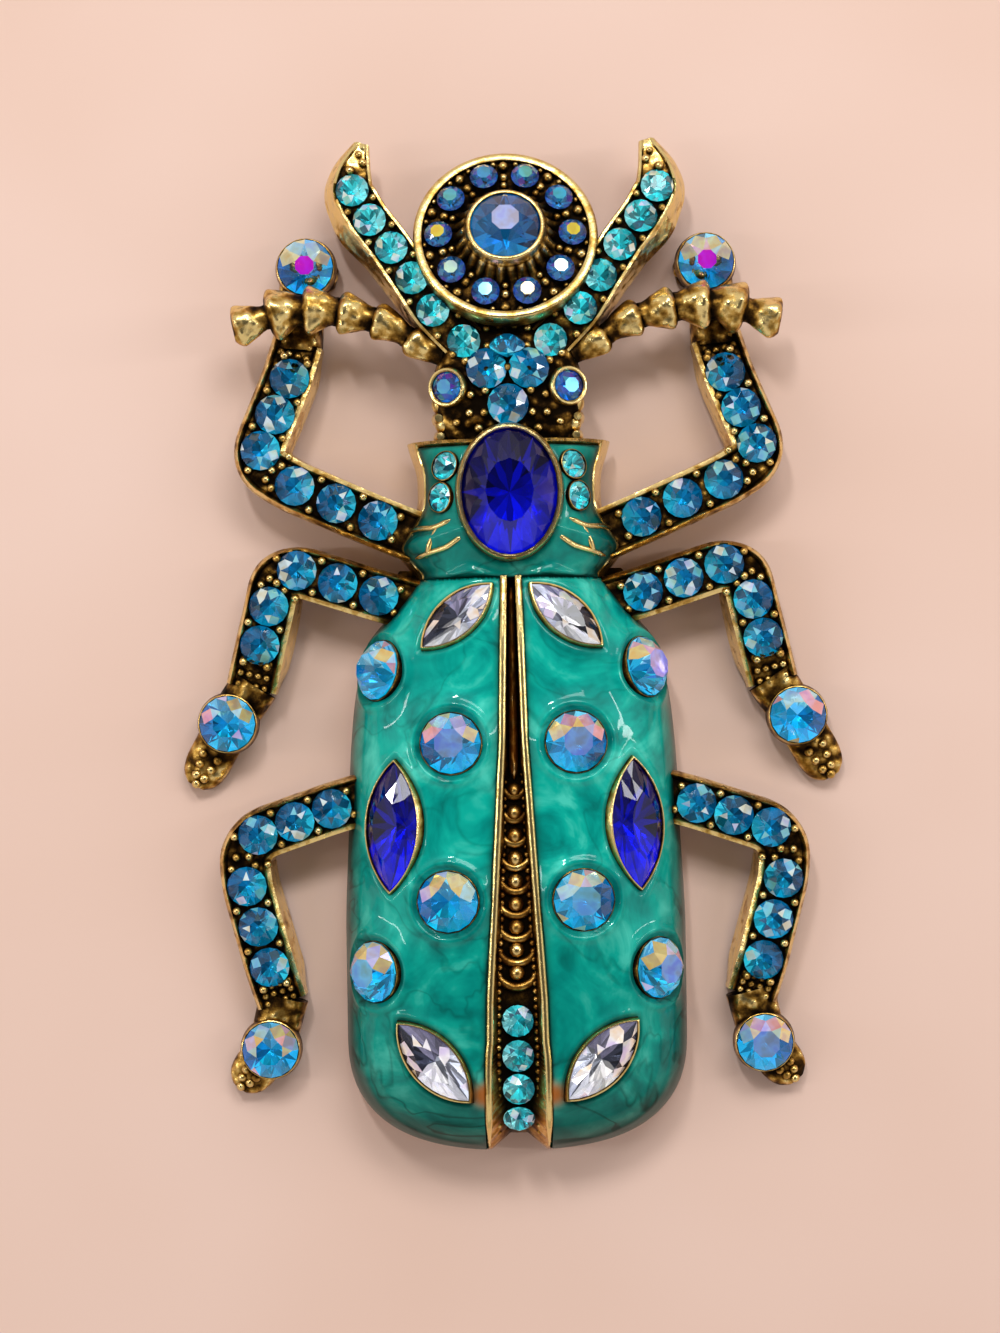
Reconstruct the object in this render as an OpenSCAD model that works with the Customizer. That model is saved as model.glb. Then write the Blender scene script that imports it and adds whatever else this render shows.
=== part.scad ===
// Beetle brooch: a hollow casting with troughs and collets for cut stones, enamel on its back, and a pin.
// Millimetres. The brooch lies on the plane z = 0 with its head toward +Y and its front toward +Z.
// The origin is the middle of its outline on that plane.

/* [Body] */
// Length of the wing cases
wing_l = 45.3; // [41:0.1:52]
// Width across both wing cases
wing_w = 26.9; // [24:0.1:32]
// Length over which the tail end rounds off
tail_l = 9.4; // [6:0.1:13]
// Length of the thorax
thorax_l = 10.6; // [10.4:0.1:14]
// Width of the thorax at its widest
thorax_w = 17.7; // [16.6:0.1:21]
// Rise of the back above its lower edge
back_h = 8.1; // [6.5:0.1:10]
// Height of the lower edge over the surface
edge_z = 1.5; // [1.3:0.1:3]
// Height of the bare metal edge below the enamel
edge_h = 0.7; // [0.4:0.1:1.6]
// Metal thickness of the hollow body
wall = 1.1; // [0.8:0.05:1.6]
// Thickness of the enamel
enamel_t = 0.55; // [0.4:0.05:0.9]
// Bare metal margin round the thorax enamel
thorax_margin = 0.75; // [0.5:0.05:1.5]
// Clearance between two pieces
clear = 0.05; // [0.03:0.01:0.12]

/* [Groove between the wing cases] */
// Width of the groove at the tail
groove_w = 4.2; // [3.2:0.1:5.4]
// Depth of the groove
groove_depth = 1.3; // [0.9:0.1:1.6]
// Width of the metal rim along the groove
groove_rim = 0.45; // [0.3:0.05:0.8]
// Diameter of a bead in the groove
bead_d = 1.2; // [0.8:0.1:1.6]
// Distance from bead to bead
bead_pitch = 1.76; // [1.4:0.02:2.6]

/* [Head] */
// Length of the head in front of the thorax
head_l = 9.3; // [8.8:0.1:11.5]
// Width of the head
head_w = 11.8; // [10.8:0.1:14]
// Height of the head's top over the surface
head_z = 6.9; // [6:0.1:8.2]
// Thickness of the head
head_t = 4.6; // [3.6:0.1:5.4]

/* [Disc] */
// Diameter of the disc
disc_d = 14.4; // [13.4:0.1:17]
// Thickness of the disc at its rim
disc_t = 1.5; // [1.1:0.1:2]
// Tilt of the disc away from the head, in degrees
disc_tilt = 19; // [8:1:24]
// Height of the disc's middle over the surface
disc_z = 5.7; // [5.2:0.1:6.8]
// Width of the disc's raised rim
disc_rim = 0.7; // [0.5:0.05:1]
// Height of the disc's raised rim
disc_rim_h = 0.5; // [0.3:0.05:1]
// Rise of the disc's face toward its middle
disc_dome = 0.7; // [0.4:0.05:1.1]
// Height of the cup in the middle of the disc
disc_cup_h = 2.2; // [1.9:0.1:2.8]

/* [Horns] */
// Distance from the thorax to the tips of the horns
horn_reach = 23.6; // [22:0.1:28]
// Distance from the middle line to the horns' outermost stones
horn_spread = 11.95; // [11:0.05:14]
// Thickness of a horn
horn_t = 2.4; // [1.6:0.1:3.2]
// Width of a horn's side walls
horn_rim = 0.35; // [0.25:0.05:0.6]

/* [Antennae] */
// Length of an antenna
antenna_l = 16.4; // [14:0.1:20]
// Diameter of an antenna at its thickest
antenna_d = 4.0; // [3:0.1:4.6]
// Height of an antenna's middle over the surface
antenna_z = 5.25; // [4.6:0.05:6]

/* [Legs] */
// Sideways reach of a front leg from its root
front_leg_out = 12.6; // [11.5:0.1:15]
// Forward reach of a front leg from its root
front_leg_len = 21.8; // [20:0.1:26]
// Sideways reach of a middle leg from its root
mid_leg_out = 14.2; // [13:0.1:17]
// Backward reach of a middle leg from its root
mid_leg_len = 9.6; // [9:0.1:12]
// Sideways reach of a hind leg from its root
hind_leg_out = 9.9; // [9.4:0.1:12]
// Backward reach of a hind leg from its root
hind_leg_len = 19.8; // [18:0.1:23]
// Height of a leg's top over the surface at its root
leg_z = 5.0; // [4.2:0.1:6]
// Thickness of a leg
leg_t = 3.0; // [2:0.1:3.8]
// Width of a leg's side walls
leg_rim = 0.45; // [0.3:0.05:0.8]
// Depth of the troughs in the legs and horns
trough = 0.7; // [0.5:0.05:1]

/* [Round stones] */
// Diameter of the stones on wing cases and feet
star_d = 4.7; // [4:0.1:5.2]
// Diameter of the stones on the legs
leg_stone_d = 2.9; // [2.4:0.1:3.3]
// Diameter of the stones on horns and head
horn_stone_d = 2.6; // [2.2:0.1:2.9]
// Diameter of the stone at the back of the head
nape_stone_d = 3.0; // [2.4:0.1:3.3]
// Diameter of the stones at the tail
tail_stone_d = 2.3; // [1.8:0.1:2.7]
// Diameter of the small stones on the thorax as a share of its length
thorax_stone_share = 0.198; // [0.16:0.002:0.206]
// Diameter of the small stones round the disc
ring_stone_d = 2.4; // [1.8:0.1:2.7]
// Space between two stones of that ring
ring_space = 0.75; // [0.3:0.05:1.4]
// Diameter of the stone in the middle of the disc
disc_stone_d = 5.4; // [4.6:0.1:5.8]
// Diameter of the eye stones
eye_d = 2.4; // [1.8:0.1:2.8]

/* [Oval and leaf stones] */
// Length of the oval stone as a share of the thorax's length
oval_share = 0.915; // [0.8:0.005:0.93]
// Width of the oval stone
oval_w = 7.4; // [6.4:0.1:8]
// Length of the front leaf stones
front_leaf_l = 7.2; // [6.2:0.1:7.8]
// Width of the front leaf stones
front_leaf_w = 3.4; // [2.8:0.1:4]
// Length of the middle leaf stones
mid_leaf_l = 10.0; // [8.6:0.1:11]
// Width of the middle leaf stones
mid_leaf_w = 4.5; // [3.8:0.1:5]
// Length of the rear leaf stones
rear_leaf_l = 8.0; // [7:0.1:8.8]
// Width of the rear leaf stones
rear_leaf_w = 3.8; // [3.2:0.1:4.4]

/* [Settings] */
// Thickness of a collet's wall
collet_wall = 0.3; // [0.2:0.05:0.4]
// Thickness of the collets' walls on the thorax's small stones
thin_collet_wall = 0.15; // [0.1:0.05:0.25]
// Height of a collet above the surface round it
collet_rise = 0.5; // [0.3:0.05:0.9]
// Height of the collets of the oval stone and of the eyes
high_collet_rise = 0.9; // [0.6:0.05:1.3]
// Height of the collets on the feet
foot_collet_rise = 0.9; // [0.6:0.05:1.3]
// Least space between two stones of a row
row_space = 0.12; // [0.1:0.01:0.3]

/* [Pin] */
// Diameter of the pin's stem
stem_d = 0.9; // [0.6:0.1:1.1]
// Length of the stem between hinge and catch
stem_l = 34; // [26:1:37]
// Width of the hinge block and of the catch
block_w = 4.2; // [3:0.1:6]
// Length of the hinge block and of the catch
block_l = 2.6; // [2:0.1:3.4]

/* [Hidden] */
SIDES = ["left", "right"];
LEGS = ["front", "middle", "hind"];
LEAVES = ["front", "middle", "rear"];
SPOTS = ["shoulder", "upper", "lower", "flank"];

// Places along the length, from the middle of the whole
half_l = (wing_l + thorax_l + horn_reach) / 2;
waist_y = wing_l - half_l;
neck_y = waist_y + thorax_l;
tail_y = -half_l;
cap_y = tail_y + tail_l;
head_y = neck_y + head_l;

// Shape of the back: the exponents of its cross-section and of the tail's outline, and its steps in degrees
arch_side = 3.2;
arch_top = 2;
tail_square = 2.6;
arch_step = 18;
hollow_step = 30;
core_d = enamel_t + clear;
// Bare strips of metal at each side of the waist and at the neck
waist_strip = 0.2;
neck_strip = 0.15;

// Outline of the thorax, neck to waist: share of its length, of its half width, of the back's rise
thorax_rows = [
    [0.00, 0.85, 0.73], [0.08, 0.865, 0.80], [0.22, 0.835, 0.87], [0.40, 0.825, 0.92],
    [0.55, 0.85, 0.92], [0.68, 0.93, 0.90], [0.79, 1.00, 0.87], [0.91, 0.93, 0.82]
];
// Outline of the wing cases, waist to tail curve: share of their straight length, half width, rise
wing_rows = [
    [0.00, 0.56, 0.80], [0.045, 0.635, 0.86], [0.09, 0.735, 0.90], [0.145, 0.85, 0.94],
    [0.235, 0.912, 0.97], [0.37, 0.955, 1.00], [0.57, 0.978, 1.00], [0.78, 1.00, 1.00], [1.00, 1.00, 1.00]
];
// Half width of the groove: share of the wing cases' length, of the half groove width
groove_rows = [[0.00, 0.16], [0.28, 0.31], [0.46, 0.54], [0.72, 0.88], [1.00, 1.00]];

// Legs: share of the sideways reach, of the lengthways reach, of the root's height, flare of the inner wall.
// Rows: root, first and last stone of the upper part, elbow, first and last stone of the lower part,
// ankle, foot stone, tip.
front_leg_rows = [
    [0.00, 0.00, 1.04, 0.0], [0.27, 0.065, 1.04, 0.0], [0.785, 0.195, 1.00, 0.2], [0.965, 0.26, 0.98, 0.3],
    [0.995, 0.325, 0.96, 0.4], [0.81, 0.585, 0.84, 0.4], [0.74, 0.72, 0.70, 0.4], [0.705, 0.99, 0.54, 0.0],
    [0.50, 0.96, 0.28, 0.0]
];
mid_leg_rows = [
    [0.00, 0.00, 0.96, 0.0], [0.20, 0.085, 0.96, 0.0], [0.65, 0.30, 0.96, 0.0],
    [0.775, 0.245, 0.92, 0.2], [0.81, 0.01, 0.88, 0.4], [0.865, -0.305, 0.80, 0.5],
    [0.925, -0.66, 0.66, 0.3], [1.055, -0.945, 0.54, 0.0], [1.255, -1.46, 0.28, 0.0]
];
hind_leg_rows = [
    [0.00, 0.00, 0.96, 0.0], [0.28, -0.04, 0.96, 0.0], [0.87, -0.14, 0.92, 0.1],
    [0.985, -0.215, 0.88, 0.3], [0.965, -0.345, 0.84, 0.4], [0.80, -0.67, 0.72, 0.5],
    [0.71, -0.815, 0.62, 0.45], [0.805, -1.00, 0.54, 0.0], [1.07, -1.165, 0.28, 0.0]
];
ankle = 6;
foot = 7;
tip = 8;
// Lower end of a leg, ankle to tip: share of the way from one row to the next, share of the leg's width
foot_rows = [[ankle, -0.1, 0.97], [ankle, 0.7, 0.90], [foot, 0, 0.86], [foot, 0.75, 0.74], [tip, 0, 0.44]];
// Cross-section of that end: share of its half width, of its height
foot_shape = [[-1, 0], [-1, 0.55], [-0.5, 1], [0.5, 1], [1, 0.55], [1, 0]];
// Place of each leg's root along the body, and how far it reaches in under the enamel
front_root_y = waist_y + 0.29 * thorax_l;
mid_root_y = waist_y - 0.048 * wing_l;
hind_root_y = waist_y - 0.38 * wing_l;
root_depth = core_d + 0.8 * wall;

// Horns, root to tip: share of the spread, of the way from root to tip, of the head's height, of the width,
// of the thickness, and flare of the outer wall
horn_rows = [
    [0.10, 0.00, 1.00, 1.00, 1.0, 0.0], [0.283, 0.10, 1.00, 1.00, 1.0, 0.0],
    [0.483, 0.24, 0.97, 1.00, 1.0, 0.0], [0.625, 0.395, 0.93, 1.00, 1.0, 0.0],
    [0.76, 0.535, 0.88, 1.03, 1.0, 0.2], [0.90, 0.66, 0.82, 1.05, 1.0, 1.0],
    [1.00, 0.785, 0.76, 0.98, 1.0, 0.5], [0.985, 0.88, 0.68, 0.66, 0.6, 0.2],
    [0.93, 1.00, 0.60, 0.14, 0.4, 0.0]
];
horn_first = 1;
horn_last = 6;
horn_overlap = 3.4;
// The horn's stones stand closer toward its tip: exponent of their spacing
horn_crowd = 0.92;

// Head, neck to front: share of its length, of its half width, of its height
head_rows = [
    [-0.10, 0.90, 0.90], [0.25, 0.95, 1.00], [0.45, 1.00, 1.00], [0.75, 0.86, 1.00], [1.02, 0.55, 0.85]
];
// Cross-section of the head: share of its half width, of its thickness
head_shape = [
    [-0.85, 0], [-1, 0.15], [-1, 0.6], [-0.86, 0.9], [-0.6, 1],
    [0.6, 1], [0.86, 0.9], [1, 0.6], [1, 0.15], [0.85, 0]
];
// Antennae, root to tip: share of the length sideways, of the length forward
antenna_rows = [
    [0.00, -0.01], [0.12, 0.06], [0.25, 0.145], [0.40, 0.195], [0.60, 0.225], [0.70, 0.225], [0.82, 0.20],
    [1.00, 0.145]
];
antenna_sizes = [0.62, 0.72, 0.82, 0.94, 1.00, 0.80];
antenna_neck = 0.5;
antenna_cup = 0.86;
antenna_flat = 0.8;
antenna_overlap = 2.6;

// Stones on the wing cases: share of the local half width, place from the waist as a share of the length
spot_rows = [[0.86, 0.16], [0.375, 0.285], [0.39, 0.553], [0.815, 0.675]];
// Leaf stones: share of the half width, place from the waist, heading in degrees
leaf_rows = [[0.425, 0.07, 138], [0.71, 0.426, 93], [0.48, 0.825, 47]];
leaf_sizes = [[front_leaf_l, front_leaf_w], [mid_leaf_l, mid_leaf_w], [rear_leaf_l, rear_leaf_w]];

// Cut of a stone: depth below its girdle, height above it and size of its table, as shares of its width
cut_below = 0.20;
cut_above = 0.26;
cut_table = 0.62;
star_n = 10;
big_n = 14;
row_n = 8;
// Settings: how far a girdle lies below its collet's top, room below a stone's point, the collet's flare
girdle_drop = 0.1;
seat_room = 0.1;
collet_flare = 0.12;
skin = 0.01;
// Least depth that a stone's point keeps above the bottom of a groove
groove_seat = 0.15;

// The thorax's stones grow and shrink with it
oval_l = oval_share * thorax_l;
thorax_stone_d = thorax_stone_share * thorax_l;
leg_w = leg_stone_d + 2 * (leg_rim + row_space);
horn_w = horn_stone_d + 2 * (horn_rim + row_space);
ring_r = disc_d / 2 - disc_rim - ring_stone_d / 2 - row_space;
ring_count = floor(180 / asin((ring_stone_d + ring_space) / 2 / ring_r));
disc_gap = 0.3;
disc_edge = 0.5;
disc_y = head_y + disc_d / 2 * cos(disc_tilt) - disc_gap;
slope = atan2(disc_dome, disc_d / 2 - disc_rim);

// Curve helpers
function unit(v) = v / norm(v);
function mix(a, b, t) = a + (b - a) * t;
function half_width(y) = y > waist_y
    ? thorax_w / 2 * lookup((neck_y - y) / thorax_l, [for (row = thorax_rows) [row[0], row[1]]])
    : wing_w / 2 * lookup((waist_y - y) / (waist_y - cap_y), [for (row = wing_rows) [row[0], row[1]]]);
function rise(y) = back_h * (y > waist_y
    ? lookup((neck_y - y) / thorax_l, [for (row = thorax_rows) [row[0], row[2]]])
    : lookup((waist_y - y) / (waist_y - cap_y), [for (row = wing_rows) [row[0], row[2]]]));
function groove_half(y) = groove_w / 2 * lookup((waist_y - y) / wing_l, groove_rows);

// How far a point lies out from the middle line, from 0 there to 1 at the outline
function outwards(x, y) = pow(
    pow(abs(x) / half_width(y), tail_square) + pow(max(0, cap_y - y) / tail_l, tail_square),
    1 / tail_square);
// Height of the back above a point
function back_z(x, y) = edge_z
    + rise(max(y, cap_y)) * pow(max(0, 1 - pow(outwards(x, y), arch_side)), 1 / arch_top);
function back_normal(x, y, e = 0.05) = unit([
    back_z(x - e, y) - back_z(x + e, y),
    back_z(x, y - e) - back_z(x, y + e),
    2 * e]);

// Right half of the body's outline, set in by d, its tail curve in steps: half width, place, rise
function outline(d, step) = concat(
    [for (row = thorax_rows)
        [thorax_w / 2 * row[1] - d, neck_y - d - row[0] * (thorax_l - d), back_h * row[2] - d]],
    [for (row = wing_rows)
        [wing_w / 2 * row[1] - d, mix(waist_y, cap_y, row[0]), back_h * row[2] - d]],
    [for (a = [step : step : 90])
        [(wing_w / 2 - d) * pow(max(0, cos(a)), 2 / tail_square),
            cap_y - (tail_l - d) * pow(sin(a), 2 / tail_square), back_h - d]]
);

// The domed body, set in by d, its lower edge lowered by drop
module dome(d, drop = 0, step = arch_step) {
    rows = outline(d, step);
    n = len(rows);
    spine = len(thorax_rows) + len(wing_rows) - 1;
    levels = [for (a = [90 : -step : step])
        [pow(sin(a), 2 / arch_side), pow(max(0, cos(a)), 2 / arch_top), a == 90 ? drop : 0]];
    loop = concat([for (i = [0 : n - 1]) [i, 1]], [for (i = [n - 2 : -1 : 0]) [i, -1]]);
    m = len(loop);
    top = len(levels) * m;
    rings = [for (level = levels, p = loop)
        let (row = rows[p[0]], y = max(row[1], cap_y))
        [p[1] * level[0] * row[0], mix(y, row[1], level[0]), edge_z + level[1] * row[2] - level[2]]];
    ridge = [for (i = [0 : spine]) [0, rows[i][1], edge_z + rows[i][2]]];
    walls = [for (k = [0 : len(levels) - 2], i = [0 : m - 1])
        let (a = k * m + i, b = k * m + (i + 1) % m)
        each [[a, b, b + m], [a, b + m, a + m]]];
    base = [for (i = [0 : n - 2]) each i == n - 2 ? [[i, m - 1 - i, i + 1]]
        : [[i, m - 2 - i, i + 1], [i, m - 1 - i, m - 2 - i]]];
    crown = [for (i = [0 : n - 2], right = [true, false])
        let (a = top - m + (right ? i : m - 1 - i), b = top - m + (right ? i + 1 : m - 2 - i),
            c = top + min(i, spine), e = top + min(i + 1, spine))
        each right ? concat([[a, b, e]], i < spine ? [[a, e, c]] : [])
            : concat([[a, e, b]], i < spine ? [[a, c, e]] : [])];
    front = [[top - m, top, top - 1]];
    polyhedron(concat(rings, ridge), concat(walls, base, crown, front), convexity = 6);
}

// A solid through rings of points, each ring with the same count
module loft(rings) {
    n = len(rings[0]);
    last = len(rings) - 1;
    walls = [for (k = [0 : last - 1], i = [0 : n - 1])
        let (a = k * n + i, b = k * n + (i + 1) % n)
        each [[a, b + n, b], [a, a + n, b + n]]];
    polyhedron([for (ring = rings) each ring],
        concat([[for (i = [0 : n - 1]) i]], walls, [[for (i = [n - 1 : -1 : 0]) last * n + i]]),
        convexity = 6);
}

// Sections across a path in plan. Each section is a list of [out, up]; out is to the path's right.
function heading(path, i) = unit(
    (i < len(path) - 1 ? unit(plan(path[i + 1] - path[i])) : [0, 0])
    + (i > 0 ? unit(plan(path[i] - path[i - 1])) : [0, 0]));
function plan(p) = [p[0], p[1]];
function bend(path, i) = i == 0 ? 1 : 1 / max(0.75, heading(path, i) * unit(plan(path[i] - path[i - 1])));
function swept(path, sections) = [for (i = [0 : len(path) - 1])
    let (t = heading(path, i), w = bend(path, i))
    [for (q = sections[i]) [path[i][0] + t[1] * q[0] * w, path[i][1] - t[0] * q[0] * w, q[1]]]];

// Outline of a stone in plan, grown by g: an ellipse, or a leaf between two arcs
function stone_outline(l, w, n, leaf, g) = leaf
    ? let (r = (l * l + w * w) / 4 / w, a = asin(l / 2 / r), h = n / 2,
            ends = (l + 3 * g) / l, wide = (w + 2 * g) / w)
        [for (i = [0 : n - 1])
            let (t = i < h ? mix(-1, 1, i / h) : mix(1, -1, (i - h) / h), side = i < h ? 1 : -1)
            [ends * r * sin(a * t), -side * wide * (r * cos(a * t) - r + w / 2)]]
    : [for (i = [0 : n - 1]) [(l / 2 + g) * cos(360 / n * i), (w / 2 + g) * sin(360 / n * i)]];

// A cut stone whose point stands at z = 0
module stone(l, w, n = row_n, leaf = false) {
    edge = stone_outline(l, w, n, leaf, 0);
    girdle = [for (p = edge) [p[0], p[1], w * cut_below]];
    table = [for (i = [0 : n - 1])
        let (p = (edge[i] + edge[(i + 1) % n]) / 2 * cut_table)
        [p[0], p[1], w * (cut_below + cut_above)]];
    polyhedron(
        concat([[0, 0, 0]], girdle, table),
        concat(
            [for (i = [0 : n - 1]) let (a = 1 + i, b = 1 + (i + 1) % n)
                each [[0, a, b], [a, a + n, b], [b, a + n, b + n]]],
            [[for (i = [n - 1 : -1 : 0]) 1 + n + i]]),
        convexity = 2);
}

// Height of a collet's top above the bottom of its hole
function seat(w) = seat_room + clear + w * cut_below + girdle_drop;

// A tapered collet, grown by g, from under the enamel to its top
module collet(l, w, n, leaf, g = 0, rise = collet_rise, thick = collet_wall) {
    hull() {
        translate([0, 0, -core_d - wall / 2]) linear_extrude(skin)
            polygon(stone_outline(l, w, n, leaf, thick + collet_flare + g));
        translate([0, 0, rise - skin]) linear_extrude(skin)
            polygon(stone_outline(l, w, n, leaf, thick + g));
    }
}

// The hole that a stone sits in
module socket(l, w, n, leaf, rise = collet_rise) {
    translate([0, 0, rise - seat(w)]) linear_extrude(seat(w) + w)
        polygon(stone_outline(l, w, n, leaf, clear));
}

// Puts what follows at a point with its own +Z along a direction
module stand(at, up) {
    translate(at) rotate(a = acos(min(1, up[2])), v = norm(plan(up)) < 0.001 ? [1, 0, 0] : [-up[1], up[0], 0])
        children();
}

module both_sides() {
    children();
    mirror([1, 0, 0]) children();
}

module on_side(s) {
    mirror([s == "left" ? 1 : 0, 0, 0]) children();
}

// Places on the back
function spot_at(i) = let (y = waist_y - spot_rows[i][1] * wing_l, x = spot_rows[i][0] * half_width(y))
    [x, y, back_z(x, y)];
function leaf_at(i) =
    let (y = waist_y - leaf_rows[i][1] * wing_l, x = leaf_rows[i][0] * half_width(max(y, cap_y)))
    [x, y, back_z(x, y)];
module at_back(p) {
    stand(p, back_normal(p[0], p[1])) children();
}
module at_spot(i) {
    at_back(spot_at(i)) children();
}
module at_leaf(i) {
    at_back(leaf_at(i)) rotate(leaf_rows[i][2]) children();
}
oval_y = waist_y + 0.60 * thorax_l;
module at_oval() {
    translate([0, oval_y, back_z(0, oval_y)]) rotate(90) children();
}
// Two small stones beside the oval one, one behind the other, close to its collet
thorax_stone_y = oval_y + 0.085 * thorax_l;
function thorax_stone_at(k) =
    let (y = thorax_stone_y + (2 * k - 1) * (thorax_stone_d / 2 + thin_collet_wall),
        beside = oval_w / 2 * sqrt(max(0, 1 - pow((y - oval_y) / oval_l * 2, 2))),
        x = beside + collet_wall + thin_collet_wall + thorax_stone_d / 2)
    [x, y, back_z(x, y)];
module at_thorax_stone(k) {
    at_back(thorax_stone_at(k)) children();
}
module thorax_collet(g = 0, rise = collet_rise) {
    collet(thorax_stone_d, thorax_stone_d, row_n, false, g, rise, thin_collet_wall);
}

// Regions of the back in plan
function groove_edge(g) = [for (row = groove_rows)
    let (y = waist_y - row[0] * wing_l)
    [groove_half(y) + groove_rim + g, y - (row[0] == 0 ? waist_strip + g : 0)]];
module wing_region(g) {
    edge = groove_edge(g);
    polygon(concat(edge, [
        [edge[len(edge) - 1][0], tail_y - 1], [wing_w, tail_y - 1], [wing_w, waist_y - waist_strip - g]]));
}
module groove_region() {
    edge = groove_edge(-groove_rim);
    polygon(concat(edge, [[groove_w / 2, tail_y - 1], [-groove_w / 2, tail_y - 1]],
        [for (i = [len(edge) - 1 : -1 : 0]) [-edge[i][0], edge[i][1]]]));
}
module thorax_region(g) {
    right = [for (t = [0 : 0.125 : 1])
        let (y = mix(neck_y - core_d - neck_strip - g, waist_y + waist_strip + g, t))
        [half_width(y) - thorax_margin - g, y]];
    polygon(concat(right, [for (i = [len(right) - 1 : -1 : 0]) [-right[i][0], right[i][1]]]));
}
module pocket(d, lift = 0) {
    difference() {
        translate([0, 0, edge_z + edge_h + lift]) linear_extrude(back_h) children();
        dome(d, 1);
    }
}
module enamel() {
    intersection() {
        dome(0);
        pocket(enamel_t, clear) children();
    }
}

// Shell of the body with pockets for the enamel and the groove between the wing cases
module body_shell() {
    difference() {
        dome(0);
        both_sides() pocket(core_d) wing_region(0);
        pocket(core_d) thorax_region(0);
        pocket(groove_depth) groove_region();
    }
}

// Room behind the body, with a web across it for each end of the pin
web_l = block_l + 1;
hinge_y = waist_y - web_l / 3;
catch_y = hinge_y - stem_l - block_l;
hollow_drop = 2;
module hollow() {
    difference() {
        dome(core_d + wall, hollow_drop, hollow_step);
        for (y = [hinge_y, catch_y]) translate([-wing_w / 2, y - web_l / 2, edge_z])
            cube([wing_w, web_l, wall]);
    }
}

// Legs
function leg_path(rows, root_y, out, len_y) = [for (row = rows)
    [half_width(root_y) - root_depth + row[0] * out, root_y + row[1] * len_y, row[2] * leg_z]];
front_path = leg_path(front_leg_rows, front_root_y, front_leg_out, front_leg_len);
mid_path = leg_path(mid_leg_rows, mid_root_y, mid_leg_out, mid_leg_len);
hind_path = leg_path(hind_leg_rows, hind_root_y, hind_leg_out, hind_leg_len);
leg_paths = [front_path, mid_path, hind_path];
leg_tables = [front_leg_rows, mid_leg_rows, hind_leg_rows];

// Cross-section of a leg with its trough; grown by g, it has a flat top
function leg_section(z, flare, side, g) =
    let (h = leg_w / 2 + g, low = max(0, z - leg_t) - (z > leg_t ? g : 0), cut = leg_w / 2 - leg_rim)
    [for (q = concat([[h, low], [h, z + g]],
        g > 0 ? [] : [[cut, z], [cut, z - trough], [-cut, z - trough], [-cut, z]],
        [[-h, z + g], [-h - flare, low]]))
        [q[0] * side, q[1]]];
function ordered(ring, side) = side < 0 ? ring : [for (i = [len(ring) - 1 : -1 : 0]) ring[i]];
module leg_trough(i, g = 0, first = 0, last = ankle) {
    side = i == 0 ? 1 : -1;
    path = [for (k = [first : last]) leg_paths[i][k]];
    loft(swept(path, [for (k = [first : last])
        ordered(leg_section(leg_paths[i][k][2], leg_tables[i][k][3], side, g), side)]));
}
module leg_foot(i) {
    p = leg_paths[i];
    path = [for (row = foot_rows) row[0] == tip ? p[tip] : mix(p[row[0]], p[row[0] + 1], row[1])];
    loft(swept(path, [for (k = [0 : len(foot_rows) - 1])
        [for (q = foot_shape) [q[0] * leg_w / 2 * foot_rows[k][2], q[1] * path[k][2]]]]));
}
module at_foot(i) {
    translate(leg_paths[i][foot]) children();
}
module leg(i) {
    leg_trough(i);
    leg_foot(i);
    at_foot(i) collet(star_d, star_d, star_n, false, 0, foot_collet_rise);
}

// Stones of one straight run from a to b, spread evenly, as many as fit up to most
module run(a, b, d, most) {
    count = min(most, floor(norm(plan(b - a)) / (d + row_space)) + 1);
    for (k = [0 : count - 1])
        in_trough(mix(a, b, count > 1 ? k / (count - 1) : 0.5), unit(b - a)) stone(d, d);
}
module leg_stones(i) {
    p = leg_paths[i];
    run(p[1], p[2], leg_stone_d, 3);
    run(p[4], p[5], leg_stone_d, 3);
}

// Horns
horn_root_y = head_y - horn_overlap;
horn_path = [for (row = horn_rows)
    [row[0] * horn_spread, mix(horn_root_y, half_l, row[1]), row[2] * head_z]];
function horn_section(z, wide, thick, flare) =
    let (h = horn_w / 2 * wide, low = z - horn_t * thick, cut = max(h / 2, h - horn_rim),
        floor_z = z - trough * (thick < 1 ? thick / 2 : 1))
    [[-h, low], [-h, z], [-cut, z], [-cut, floor_z], [cut, floor_z], [cut, z], [h, z], [h + flare, low]];
module horn() {
    loft(swept(horn_path, [for (k = [0 : len(horn_rows) - 1])
        horn_section(horn_path[k][2], horn_rows[k][3], horn_rows[k][4], horn_rows[k][5])]));
}
// Points along a path at a distance s from its start
function reach(path, i) = i == 0 ? 0 : reach(path, i - 1) + norm(path[i] - path[i - 1]);
function point_on(path, s) = [for (axis = [0 : 2])
    lookup(s, [for (i = [0 : len(path) - 1]) [reach(path, i), path[i][axis]]])];
// Puts what follows in a trough whose rim passes through p along t
module in_trough(p, t) {
    up = cross(unit([t[1], -t[0], 0]), t);
    stand(p + (clear - trough) * up, up) children();
}
module along_horn() {
    line = [for (k = [horn_first : horn_last]) horn_path[k]];
    whole = reach(line, len(line) - 1);
    gaps = floor(horn_crowd * whole / (horn_stone_d + row_space));
    for (k = [0 : gaps]) {
        s = whole * pow(k / gaps, horn_crowd);
        in_trough(point_on(line, s), unit(point_on(line, s + 1) - point_on(line, s - 1))) children();
    }
}
// Room for a horn stone in what stands in its way
module horn_stone_room() {
    translate([0, 0, -clear / 2]) linear_extrude(horn_stone_d)
        polygon(stone_outline(horn_stone_d, horn_stone_d, row_n, false, clear));
}

// Head
module head() {
    low = head_z - head_t;
    loft([for (row = head_rows) [for (q = head_shape)
        [q[0] * row[1] * head_w / 2, neck_y + row[0] * head_l, mix(low, head_z * row[2], q[1])]]]);
}
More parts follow.
